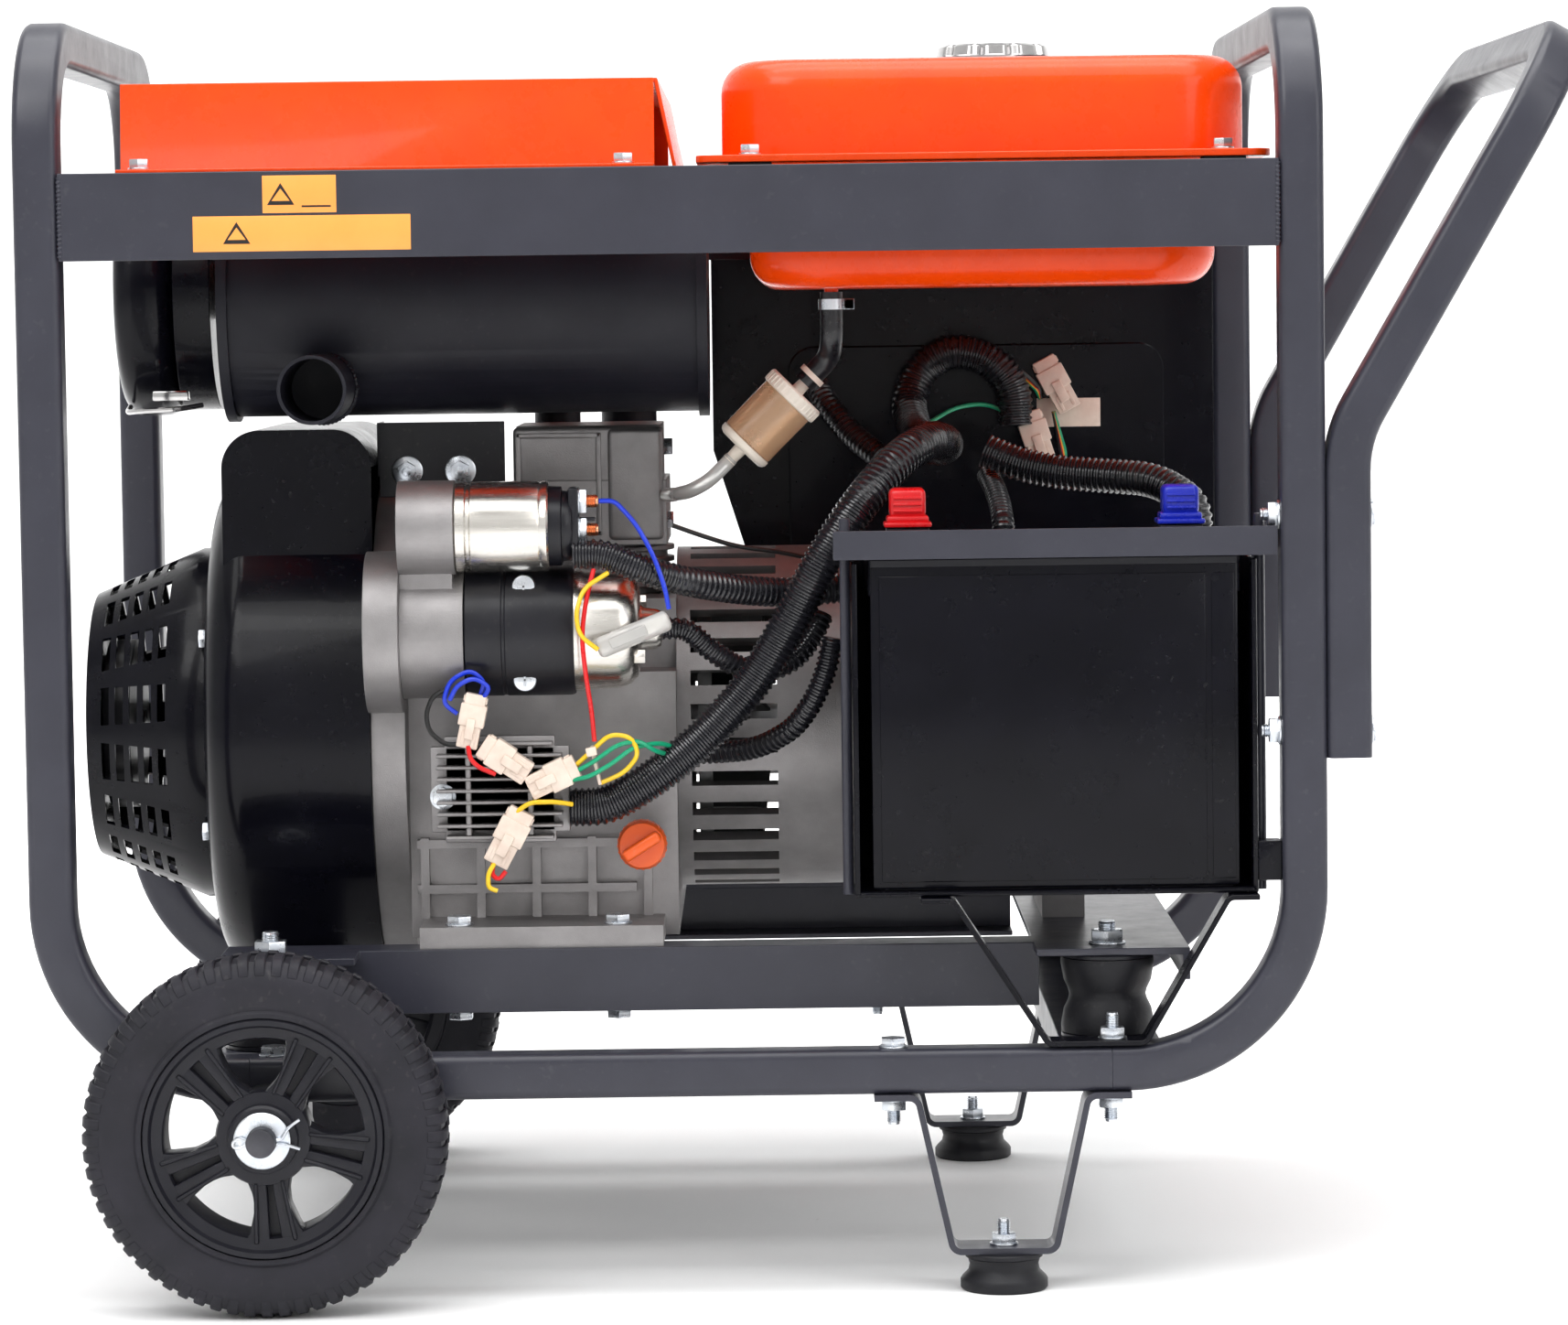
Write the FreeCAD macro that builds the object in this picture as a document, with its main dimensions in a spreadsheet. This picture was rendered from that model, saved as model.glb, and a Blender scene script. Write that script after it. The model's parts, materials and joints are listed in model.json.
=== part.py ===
import FreeCAD, Part
import math
import os
import re

import Sketcher

"""Engine driven welder on a two-wheeled tube frame.

Millimetres, +Z up.  X runs along the machine from the recoil starter towards the push
handle, Y runs from the battery side towards the control panel side.  The pieces are drawn
about the middle of the tube frame, and every node is then moved by half the reach of the
handle, so that the origin lies under the middle of the whole machine on the floor.
"""

Vector = FreeCAD.Vector
AXES = {"x": Vector(1, 0, 0), "y": Vector(0, 1, 0), "z": Vector(0, 0, 1)}
QUARTER = 90.0

doc = FreeCAD.newDocument("engine_driven_welder")
sheet = doc.addObject("Spreadsheet::Sheet", "dims")

DIMENSIONS = {
    # tube frame
    "frame_length": 720, "frame_width": 480, "frame_height": 712, "tube": 25,
    "tube_wall": 2, "tube_edge": 5, "axle_drop": 11, "corner_bend": 100, "hoop_bend": 60,
    "top_rail_rise": 273, "top_rail_height": 48, "top_rail_flange": 45, "plate": 3,
    # push handle
    "handle_reach": 152, "handle_bottom": 295, "handle_knee": 472, "handle_top": 687,
    "handle_bend": 70, "handle_grip_bend": 60,
    # wheels, axle and feet
    "wheel_radius": 100, "wheel_gap": 14, "tyre_width": 45, "tyre_inner": 66,
    "wheel_x": -227, "axle_radius": 8, "axle_fit": 0.05, "side_gap": 0.3, "hub_radius": 20,
    "hub_overhang": 2, "washer_radius": 15.5, "washer": 2, "axle_end": 10, "pin_gap": 0.4,
    "bracket_width": 40, "rim_web": 8, "tyre_edge": 13, "foot_x": 178.5, "foot_height": 21,
    "foot_radius": 24.5, "foot_waist": 19.5, "foot_strip": 3.5, "foot_strip_width": 28,
    "foot_flat": 57, "foot_span": 95, "foot_flange": 24, "foot_bend": 6,
    # engine bed
    "bed_length": 404, "bed_gap": 16, "bed_height": 36, "bed_inner": 150, "bed_outer": 180,
    "bed_plate": 4, "bed_cross_x": 240, "bed_cross_half": 41, "mount_radius": 26.5,
    "mount_setback": 50, "mount_lip": 24, "cross_half": 28, "lug_x": -231, "lug_half": 28,
    "foot_bolt_y": 164, "nut_flats": 17, "nut_height": 8, "stud_radius": 5, "stud_stand": 5,
    # engine
    "engine_rise": 117, "shaft_radius": 20, "bearing_radius": 34, "bearing_width": 16,
    "case_left": -156, "case_right": -2, "case_half": 120, "deck_rise": 75, "case_wall": 10,
    "case_cavity": 82, "foot_plate": 12, "foot_plate_half": 176, "barrel_x": -54,
    "barrel_radius": 46, "barrel_bore": 36, "fin_radius": 50, "barrel_height": 30,
    "head_left": -98, "head_right": -7, "head_half": 58, "head_height": 38,
    "rocker_height": 32, "rocker_half": 52, "flange_left": -176, "flange_radius": 146,
    "lobe_radius": 46, "shroud_left": -273, "shroud_radius": 150, "sheet": 2,
    "shroud_duct_half": 108, "shroud_duct_left": -262, "shroud_rise": 176,
    "shroud_mouth": 96, "recoil_face": -347, "recoil_face_radius": 78,
    "recoil_base_radius": 104, "recoil_base": -284, "flywheel_left": -262,
    "flywheel_width": 34, "flywheel_radius": 112, "blade": 4, "blade_height": 26,
    "reel_radius": 50, "reel_width": 16, "web_radius": 58, "web_width": 18,
    "web_offset": 14, "crank_throw": 30, "slot_start": 9, "slot_pitch": 8.6,
    "slot_width": 5, "slot_length": 22, "slot_columns": 5, "slot_turns": 16,
    # starter
    "starter_y": -150, "starter_rise": 61.5, "starter_radius": 37, "starter_left": -120,
    "starter_right": -58, "starter_nose": -21, "starter_boss": -9, "solenoid_y": -172,
    "solenoid_rise": 60, "solenoid_radius": 25.5, "solenoid_cap": -71, "solenoid_end": -58,
    "drive_left": -156, "regulator_left": -141, "regulator_right": -62,
    "regulator_rise": 59, "regulator_height": 61, "regulator_face": -178,
    "regulator_back": -160, "dipstick_x": -22, "dipstick_rise": 55, "dipstick_radius": 14,
    "dipstick_seat": -140, "dipstick_depth": 16,
    # exhaust and intake
    "muffler_y": -60, "muffler_rise": 250, "muffler_radius": 70, "muffler_left": -261,
    "muffler_right": 19, "outlet_x": -202, "outlet_drop": 50, "outlet_radius": 19.5,
    "outlet_end": -190, "cleaner_y": 60, "cleaner_rise": 257, "cleaner_radius": 75,
    "cleaner_left": -335, "cleaner_split": -299, "cleaner_right": -277, "shield_left": -304,
    "shield_right": -8, "shield_rise": 48, "shield_margin": 35,
    # fuel
    "tank_left": 29, "tank_gap": 12, "seam_lip": 28, "tank_rise": 58, "seam_height": 4,
    "seam_reach": 14, "tank_lower_inset": 15, "tank_drop": 70, "tank_corner": 45,
    "seam_margin": 18, "pad": 2, "cap_x": 189, "cap_radius": 35, "cap_height": 11,
    "neck_height": 4, "gauge_x": 134, "nipple_x": 90, "nipple_y": -130,
    # alternator
    "alternator_radius": 101, "alternator_right": 102, "stator_right": 170,
    "cover_right": 235, "rotor_radius": 60, "air_gap": 0.6, "rotor_shaft_radius": 14,
    "casting_wall": 7,
    # control panel
    "panel_left": 18, "panel_gap": 1, "panel_height": 248, "panel_depth": 50,
    "panel_setback": 4, "panel_slant": 40, "fascia": 3, "socket_radius": 24,
    "terminal_radius": 13, "knob_radius": 17, "key_radius": 11,
    # battery
    "battery_margin": 12, "battery_setback": 16, "battery_depth": 112, "battery_rise": 87,
    "battery_height": 184.5, "tray_left": 98, "tray_gap": 13, "tray_wall": 3,
    "tray_lip": 1.5, "clamp_left": 88, "clamp_gap": 2, "clamp_seat": 0.5,
    "clamp_height": 16, "post_setback": 42, "red_x": 130.5, "post_inset": 26.5,
    "post_height": 16, "post_size": 24, "stem_radius": 6, "boot_width": 27,
    "boot_height": 22, "boot_wall": 2, "strut_left": 146, "strut_flat_left": 204,
    "strut_flat_right": 258, "strut_lift": 0.6, "strut_width": 22, "strut_inset": 5,
    "strut": 3,
    # fasteners
    "small_flats": 10, "bolt_flats": 13, "thin_head": 5.5, "nut": 6.5, "screw_stand": 8,
    "cover_bolt_ring": 112,
}

# Sizes that follow other sizes, each by a named clearance or rise.
TIED = {
    "wheel_inner": "frame_width / 2 + wheel_gap",
    "seam_half": "frame_width / 2 - seam_margin",
    "tank_half": "seam_half - seam_lip",
    "shield_half": "frame_width / 2 - shield_margin",
    "battery_front": "-frame_width / 2 + battery_setback",
    "battery_back": "battery_front + battery_depth",
    "post_y": "battery_front + post_setback",
    "panel_front": "frame_width / 2 - panel_setback",
    "panel_back": "panel_front - panel_depth",
    "mount_reach": "frame_width / 2 - mount_setback",
    "mount_plate_edge": "mount_reach + mount_lip",
    "panel_right": "frame_length / 2 - tube - panel_gap",
    "tank_right": "frame_length / 2 - tube - tank_gap",
    "clamp_right": "frame_length / 2 - tube - clamp_gap",
    "tray_right": "frame_length / 2 - tube - tray_gap",
    "battery_right": "tray_right - battery_margin",
    "battery_left": "tray_left + battery_margin",
    "blue_x": "battery_right - post_inset",
    "strut_right": "tray_right - strut_inset",
    "rail_bottom": "wheel_radius + axle_drop",
    "bed_bottom": "rail_bottom + tube + bed_gap",
    "bed_top": "bed_bottom + bed_height",
    "crank_height": "bed_top + engine_rise",
    "case_top": "crank_height + deck_rise",
    "barrel_top": "case_top + barrel_height",
    "head_top": "barrel_top + head_height",
    "rocker_top": "head_top + rocker_height",
    "shroud_top": "crank_height + shroud_rise",
    "starter_z": "crank_height + starter_rise",
    "solenoid_z": "starter_z + solenoid_rise",
    "regulator_bottom": "bed_top + regulator_rise",
    "regulator_top": "regulator_bottom + regulator_height",
    "dipstick_z": "bed_top + dipstick_rise",
    "muffler_z": "crank_height + muffler_rise",
    "outlet_z": "muffler_z - outlet_drop",
    "cleaner_z": "crank_height + cleaner_rise",
    "top_rail_bottom": "crank_height + top_rail_rise",
    "tank_seam": "top_rail_bottom + top_rail_height + pad",
    "tank_top": "tank_seam + tank_rise",
    "tank_bottom": "tank_seam - tank_drop",
    "shield_top": "tank_seam + shield_rise",
    "panel_bottom": "top_rail_bottom - panel_height",
    "battery_bottom": "rail_bottom + tube + battery_rise",
    "battery_top": "battery_bottom + battery_height",
    "tray_top": "battery_top - tray_lip",
    "clamp_bottom": "battery_top + clamp_seat",
}

for row, (alias, value) in enumerate(DIMENSIONS.items(), start=1):
    sheet.set(f"A{row}", alias)
    sheet.set(f"B{row}", str(value))
    sheet.setAlias(f"B{row}", alias)
doc.recompute()

CELLS = {alias: float(sheet.get(alias)) for alias in DIMENSIONS}


def size(text):
    """Value of a formula written in the aliases of the sheet."""
    total = 0.0
    for sign, term in re.findall(r"([+-]?)\s*([^+-]+)", text.replace(" ", "")):
        factors = re.findall(r"([*/]?)([a-z_]+|[\d.]+)", term)
        value = 1.0
        for operator, word in factors:
            number = CELLS[word] if word in CELLS else float(word)
            value = value / number if operator == "/" else value * number
        total += -value if sign == "-" else value
    return total


for name, text in TIED.items():
    CELLS[name] = size(text)


def formula(text):
    """The same formula as an expression that reads the sheet."""
    def cell(found):
        word = found.group(0)
        return f"({formula(TIED[word])})" if word in TIED else f"dims.{word}"
    return re.sub(r"[a-z_]+", cell, str(text))


def bind(item, prop, text):
    item.setExpression(prop, formula(text))


def place(item, x, y, z):
    for axis, text in zip("xyz", (x, y, z)):
        bind(item, f"Placement.Base.{axis}", text)


def less(high, low):
    """Formula of high - low for two formulas that are plain sums."""
    turned = re.sub(r"[+-]", lambda sign: "-" if sign.group(0) == "+" else "+", low.strip())
    return f"{high} {turned}" if turned[0] in "+-" else f"{high} - {turned}"


def box(x, y, z):
    """Block between three (low, high) pairs of formulas."""
    item = doc.addObject("Part::Box", "block")
    place(item, x[0], y[0], z[0])
    for prop, (low, high) in zip(("Length", "Width", "Height"), (x, y, z)):
        bind(item, prop, less(high, low))
    return item


def turned(item, axis):
    """Lay an object that was made along Z along X, Y or Z."""
    if axis == "x":
        item.Placement.Rotation = FreeCAD.Rotation(AXES["y"], QUARTER)
    elif axis == "y":
        item.Placement.Rotation = FreeCAD.Rotation(AXES["x"], -QUARTER)
    return item


def start_of(axis, low, across, up):
    """Base point of a round piece: across and up are its centre, low is along its axis."""
    return {"x": (low, across, up), "y": (across, low, up), "z": (across, up, low)}[axis]


def rod(axis, ends, centre, radius):
    """Round bar along an axis between two formulas; centre is its other two coordinates."""
    item = doc.addObject("Part::Cylinder", "rod")
    turned(item, axis)
    place(item, *start_of(axis, ends[0], *centre))
    bind(item, "Height", less(ends[1], ends[0]))
    bind(item, "Radius", radius)
    return item


def cone(axis, ends, centre, radii):
    item = doc.addObject("Part::Cone", "cone")
    turned(item, axis)
    place(item, *start_of(axis, ends[0], *centre))
    bind(item, "Height", less(ends[1], ends[0]))
    bind(item, "Radius1", radii[0])
    bind(item, "Radius2", radii[1])
    return item


def hexagon(axis, ends, centre, flats):
    """Hexagonal nut or bolt head."""
    item = doc.addObject("Part::Prism", "hexagon")
    item.Polygon = 6
    turned(item, axis)
    place(item, *start_of(axis, ends[0], *centre))
    bind(item, "Height", less(ends[1], ends[0]))
    item.setExpression("Circumradius", f"({formula(flats)}) / sqrt(3)")
    return item


def fused(*items):
    if len(items) == 1:
        return items[0]
    item = doc.addObject("Part::MultiFuse", "fused")
    item.Shapes = list(items)
    return item


def cut(base, *tools):
    item = doc.addObject("Part::Cut", "cut")
    item.Base = base
    item.Tool = fused(*tools)
    return item


def shaped(shape, name="shaped"):
    """Feature for a shape that primitives and sketches do not reach."""
    item = doc.addObject("Part::Feature", name)
    item.Shape = shape
    return item


def softened(item, radius, wanted):
    """Fillet the straight or round edges for which wanted(edge) is true."""
    doc.recompute()
    picked = [i for i, edge in enumerate(item.Shape.Edges, start=1) if wanted(edge)]
    result = doc.addObject("Part::Fillet", "softened")
    result.Base = item
    result.Edges = [(i, radius, radius) for i in picked]
    doc.recompute()
    return result


def along(axis):
    """Test for straight edges that run along an axis."""
    def test(edge):
        if not isinstance(edge.Curve, Part.Line):
            return False
        run = edge.Vertexes[-1].Point - edge.Vertexes[0].Point
        return run.Length > 1e-6 and abs(run.dot(AXES[axis])) > 0.999 * run.Length
    return test


def profile_body(name, plane, outline, ends):
    """PartDesign body: a closed outline of formula pairs, padded between two formulas.

    plane is XY, XZ or YZ; the outline's pairs are its two coordinates, and ends the third.
    """
    body = doc.addObject("PartDesign::Body", f"{name}_body")
    origin_plane = next(f for f in body.Origin.OriginFeatures if f.Role == f"{plane}_Plane")
    sketch = body.newObject("Sketcher::SketchObject", f"{name}_outline")
    sketch.AttachmentSupport = [(origin_plane, "")]
    sketch.MapMode = "FlatFace"
    start = f"-({formula(ends[1])})" if plane == "XZ" else formula(ends[0])
    sketch.setExpression("AttachmentOffset.Base.z", start)
    corners = [Vector(size(a), size(b), 0) for a, b in outline]
    count = len(corners)
    for i in range(count):
        sketch.addGeometry(Part.LineSegment(corners[i], corners[(i + 1) % count]))
    for i in range(count):
        sketch.addConstraint(Sketcher.Constraint("Coincident", i, 2, (i + 1) % count, 1))
    for i, pair in enumerate(outline):
        for kind, text in zip(("DistanceX", "DistanceY"), pair):
            number = sketch.addConstraint(Sketcher.Constraint(kind, i, 1, size(text)))
            sketch.setExpression(f"Constraints[{number}]", formula(text))
    pad = body.newObject("PartDesign::Pad", f"{name}_pad")
    pad.Profile = sketch
    bind(pad, "Length", less(ends[1], ends[0]))
    doc.recompute()
    return body


def square_section(centre, across, up, wide, high, edge):
    """Rounded rectangle face about a centre, in the plane of two unit vectors."""
    face_wire = Part.makePolygon([
        centre + across * (sx * wide / 2) + up * (sy * high / 2)
        for sx, sy in ((-1, -1), (1, -1), (1, 1), (-1, 1), (-1, -1))])
    face = Part.Face(face_wire)
    if edge <= 0:
        return face
    solid = face.extrude(across.cross(up))
    rounded = solid.makeFillet(edge, [e for e in solid.Edges
                                      if abs((e.Vertexes[-1].Point - e.Vertexes[0].Point)
                                             .dot(across.cross(up))) > 0.5])
    faces = [f for f in rounded.Faces
             if abs(f.normalAt(0, 0).dot(across.cross(up))) > 0.999]
    return min(faces, key=lambda f: (f.CenterOfMass - centre).Length)


def round_section(centre, along_axis, radius):
    return Part.Face(Part.Wire(Part.makeCircle(radius, centre, along_axis)))


def arc_sizes(route, tight=0.45):
    """Bend radius at each inner point: as large as its two runs leave room for."""
    radii = []
    for before, here, after in zip(route, route[1:], route[2:]):
        run_in, run_out = here - before, after - here
        half_turn = run_in.getAngle(run_out) / 2
        radii.append(tight * min(run_in.Length, run_out.Length) / math.tan(half_turn))
    return radii


def bent(route, radii, section):
    """Solid that a section sweeps along straight runs joined by tangent arcs."""
    pieces = []
    face = section
    here = route[0]
    for i, corner in enumerate(route[1:], start=1):
        direction = (corner - here).normalize()
        last = i == len(route) - 1
        if last:
            stop = corner
        else:
            onward = (route[i + 1] - corner).normalize()
            turn = direction.getAngle(onward)
            stop = corner - direction * (radii[i - 1] * math.tan(turn / 2))
        run = stop - here
        if run.Length > 1e-6:
            pieces.append(face.extrude(run))
            face = face.translated(run)
        if last:
            break
        spin_axis = direction.cross(onward).normalize()
        middle = stop + spin_axis.cross(direction) * radii[i - 1]
        pieces.append(face.revolve(middle, spin_axis, math.degrees(turn)))
        face = face.copy()
        face.rotate(middle, spin_axis, math.degrees(turn))
        here = corner + onward * (radii[i - 1] * math.tan(turn / 2))
    solid = pieces[0].multiFuse(pieces[1:]).removeSplitter() if len(pieces) > 1 else pieces[0]
    solids = solid.Solids
    return solids[0] if len(solids) == 1 else solid


def square_tube(route, radii, across):
    """Hollow square frame tube along a route; across is one side's direction at its start."""
    start, direction = route[0], (route[1] - route[0]).normalize()
    up = direction.cross(across)
    outer_size, wall, edge = size("tube"), size("tube_wall"), size("tube_edge")
    inner_size = outer_size - 2 * wall
    outer = bent(route, radii, square_section(start, across, up, outer_size, outer_size, edge))
    inner = bent(route, radii, square_section(start, across, up, inner_size, inner_size,
                                              edge - wall))
    return outer.cut(inner)


def hose(route, radius):
    """Round hose or conduit along a route, with bends as large as the route allows."""
    radii = arc_sizes(route)
    start = route[0]
    direction = (route[1] - start).normalize()
    solid = bent(route, radii, round_section(start, direction, radius))
    lengths = [(b - a).Length for a, b in zip(route, route[1:])]
    turns = [a.getAngle(b) for a, b in zip([b - a for a, b in zip(route, route[1:])],
                                           [b - a for a, b in zip(route[1:], route[2:])])]
    length = sum(lengths) - sum(r * (2 * math.tan(t / 2) - t) for r, t in zip(radii, turns))
    share = solid.Volume / (math.pi * radius ** 2 * length)
    tightest = min(radii) if radii else 0.0
    print(f"route of {length:.0f} mm, diameter {2 * radius:.1f}, tightest bend "
          f"{tightest:.0f} mm, volume to section x length {share:.4f}")
    return solid


def points(*triples):
    return [Vector(*triple) for triple in triples]


nodes = {}


def node(name, *pieces):
    """Finish a named node: its solids side by side, moved to the machine's origin."""
    group = doc.addObject("Part::Compound", name)
    group.Label = name
    group.Links = list(pieces)
    bind(group, "Placement.Base.x", "-handle_reach / 2")
    nodes[name] = group


def mirrored_y(item):
    """Copy of an object on the other side of the machine's middle plane."""
    copy = doc.addObject("Part::Mirroring", "other_side")
    copy.Source = item
    copy.Normal = AXES["y"]
    return copy


# ------------------------------------------------------------------ tube frame

half_length = size("frame_length / 2")
tube = size("tube")
side_y = size("frame_width / 2 - tube / 2")
post_x = half_length - tube / 2
rail_z = size("rail_bottom + tube / 2")
hoop_z = size("frame_height - tube / 2")
rail_half = post_x - size("corner_bend") - 8


def frame_hoop(side):
    """One end of the frame: rail stub, post, top bar, post and rail stub in one bent tube."""
    x_rail, x_post = side * rail_half, side * post_x
    route = points((x_rail, -side_y, rail_z), (x_post, -side_y, rail_z),
                   (x_post, -side_y, hoop_z), (x_post, side_y, hoop_z),
                   (x_post, side_y, rail_z), (x_rail, side_y, rail_z))
    corner, top = size("corner_bend"), size("hoop_bend")
    return shaped(square_tube(route, [corner, top, top, corner], AXES["y"]))


node("frame_hoop_left", frame_hoop(-1))
node("frame_hoop_right", frame_hoop(1))
node("bottom_rails", *[shaped(square_tube(
    points((-rail_half, side * side_y, rail_z), (rail_half, side * side_y, rail_z)), [],
    AXES["y"])) for side in (-1, 1)])

top_angle = profile_body(
    "top_rail", "YZ",
    [("-frame_width / 2", "top_rail_bottom"),
     ("-frame_width / 2 + plate", "top_rail_bottom"),
     ("-frame_width / 2 + plate", "top_rail_bottom + top_rail_height - plate"),
     ("-frame_width / 2 + top_rail_flange", "top_rail_bottom + top_rail_height - plate"),
     ("-frame_width / 2 + top_rail_flange", "top_rail_bottom + top_rail_height"),
     ("-frame_width / 2", "top_rail_bottom + top_rail_height")],
    ("-frame_length / 2 + tube", "frame_length / 2 - tube"))
node("top_rails", top_angle, mirrored_y(top_angle))


def channel(x_middle, x_half, high, low):
    """Cross member between the bottom rails: a channel that is open below."""
    edge = "frame_width / 2 - tube"
    across = (f"-{edge.replace('- tube', '+ tube')}", edge)
    outer = box((f"{x_middle} - {x_half}", f"{x_middle} + {x_half}"), across, (low, high))
    hollow = box((f"{x_middle} - {x_half} + plate", f"{x_middle} + {x_half} - plate"),
                 across, (low, f"{high} - plate"))
    return cut(outer, hollow)


node("cross_members",
     channel("bed_cross_x", "cross_half", "rail_bottom + tube", "rail_bottom + 4"),
     channel("lug_x", "cross_half", "rail_bottom + tube", "rail_bottom + 4"))


def bed_rail():
    """Channel that carries the engine, with the lug over its left rubber mount."""
    outer = box(("-bed_length / 2", "bed_length / 2"), ("-bed_outer", "-bed_inner"),
                ("bed_bottom", "bed_top"))
    hollow = box(("-bed_length / 2", "bed_length / 2"),
                 ("-bed_outer + plate", "-bed_inner"),
                 ("bed_bottom + plate", "bed_top - bed_plate"))
    lug = box(("lug_x - lug_half", "-bed_length / 2 + 20"),
              ("-mount_plate_edge", "-bed_inner"), ("bed_top - bed_plate", "bed_top"))
    return fused(cut(outer, hollow), lug)


bed_near = bed_rail()
bed_plate = profile_body(
    "bed_plate", "XZ",
    [("bed_cross_x - bed_cross_half", "bed_top - bed_plate"),
     ("bed_cross_x + bed_cross_half", "bed_top - bed_plate"),
     ("bed_cross_x + bed_cross_half", "bed_top - bed_plate - 14"),
     ("bed_cross_x + bed_cross_half + bed_plate", "bed_top - bed_plate - 14"),
     ("bed_cross_x + bed_cross_half + bed_plate", "bed_top"),
     ("bed_cross_x - bed_cross_half", "bed_top")],
    ("-mount_plate_edge", "mount_plate_edge"))
node("engine_bed", fused(bed_near, mirrored_y(bed_near), bed_plate))

rubber_mounts = [
    rod("z", ("rail_bottom + tube", "bed_top - bed_plate"), (x, f"{side}mount_reach"),
        "mount_radius")
    for x in ("lug_x", "bed_cross_x") for side in ("-", "")]
tank_pads = [box((f"{x} - 12", f"{x} + 12"), (f"{y} - 10", f"{y} + 10"),
                 ("tank_seam - pad", "tank_seam"))
             for x in ("tank_left + 16", "tank_right - 16")
             for y in ("-seam_half + 12", "seam_half - 12")]
node("isolators", *rubber_mounts, *tank_pads)

# ------------------------------------------------------------------ push handle

arm_x = half_length + tube / 2
corner_reach = (tube / 2 - size("tube_edge"))


def handle_tip():
    """Middle of the grip bar: its outermost point lies at the full reach of the handle."""
    top, knee = size("handle_top"), size("handle_knee")
    reach = half_length + size("handle_reach")
    tip_x = reach - tube / 2
    for _ in range(40):
        lean = math.atan2(tip_x - arm_x, top - knee)
        stand = corner_reach * (math.cos(lean) + math.sin(lean)) + size("tube_edge")
        tip_x = reach - stand
    return Vector(tip_x, 0, top)


tip = handle_tip()
handle_route = points((arm_x, -side_y, size("handle_bottom")),
                      (arm_x, -side_y, size("handle_knee")),
                      (tip.x, -side_y, tip.z), (tip.x, side_y, tip.z),
                      (arm_x, side_y, size("handle_knee")),
                      (arm_x, side_y, size("handle_bottom")))
handle_radii = [size("handle_bend"), size("handle_grip_bend"),
                size("handle_grip_bend"), size("handle_bend")]
node("push_handle", shaped(square_tube(handle_route, handle_radii, AXES["y"])))

# ------------------------------------------------------------------ axle and wheels

axle_reach = "wheel_inner + tyre_width + hub_overhang + side_gap + washer + axle_end"
axle_centre = ("wheel_x", "wheel_radius")
node("axle", rod("y", (f"-{axle_reach.replace('+', '-')}", axle_reach), axle_centre,
                 "axle_radius"))


def axle_bracket():
    """Plate folded round the axle, standing on the underside of the bottom rail."""
    block = box(("wheel_x - bracket_width / 2", "wheel_x + bracket_width / 2"),
                ("-frame_width / 2", "-frame_width / 2 + tube"),
                ("wheel_radius - axle_radius - 6", "rail_bottom"))
    bore = rod("y", ("-frame_width / 2", "-frame_width / 2 + tube"), axle_centre,
               "axle_radius + axle_fit")
    return cut(block, bore)


near_bracket = axle_bracket()

HUB = ("-wheel_inner - tyre_width - hub_overhang", "-wheel_inner + hub_overhang")
TYRE = ("-wheel_inner - tyre_width", "-wheel_inner")


def wheel_window(turn, radius_in, radius_out, depth):
    """Opening between two spokes, as a wedge of a ring."""
    middle = Vector(size("wheel_x"), 0, size("wheel_radius"))
    half = math.radians(17)
    corners = [(radius_in, -half * 0.55), (radius_out, -half), (radius_out, half),
               (radius_in, half * 0.55)]
    ring = [middle + Vector(r * math.cos(turn + a), depth[0], r * math.sin(turn + a))
            for r, a in corners]
    return Part.Face(Part.makePolygon(ring + ring[:1])).extrude(
        Vector(0, depth[1] - depth[0], 0))


def wheel_rim():
    """Moulded rim: hub, web with five windows and the ring that carries the tyre."""
    web_y = "-wheel_inner - tyre_width / 2"
    hub = rod("y", HUB, axle_centre, "hub_radius")
    web = rod("y", (f"{web_y} - rim_web", f"{web_y} + rim_web"), axle_centre, "tyre_inner - 6")
    ring = cut(rod("y", TYRE, axle_centre, "tyre_inner"),
               rod("y", TYRE, axle_centre, "tyre_inner - 9"))
    reach = (size(f"{web_y} - rim_web") - 1, size(f"{web_y} + rim_web") + 1)
    windows = [wheel_window(math.radians(24 + 72 * i), size("hub_radius") + 12,
                            size("tyre_inner") - 12, reach) for i in range(5)]
    bore = rod("y", HUB, axle_centre, "axle_radius + axle_fit")
    return cut(fused(hub, web, ring), bore, *[shaped(w) for w in windows])


def wheel_tyre():
    """Solid rubber tyre with rounded shoulders."""
    tyre = cut(rod("y", TYRE, axle_centre, "wheel_radius"),
               rod("y", TYRE, axle_centre, "tyre_inner"))
    outer = size("wheel_radius")
    return softened(tyre, size("tyre_edge"),
                    lambda e: isinstance(e.Curve, Part.Circle) and e.Curve.Radius > outer - 1)


rim = wheel_rim()
tyre = wheel_tyre()
node("rim_near", rim)
node("rim_far", mirrored_y(rim))
node("tyre_near", tyre)
node("tyre_far", mirrored_y(tyre))

WASHER = (f"{HUB[0]} - side_gap - washer", f"{HUB[0]} - side_gap")
PIN_Y = f"{WASHER[0]} - 3"


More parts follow.
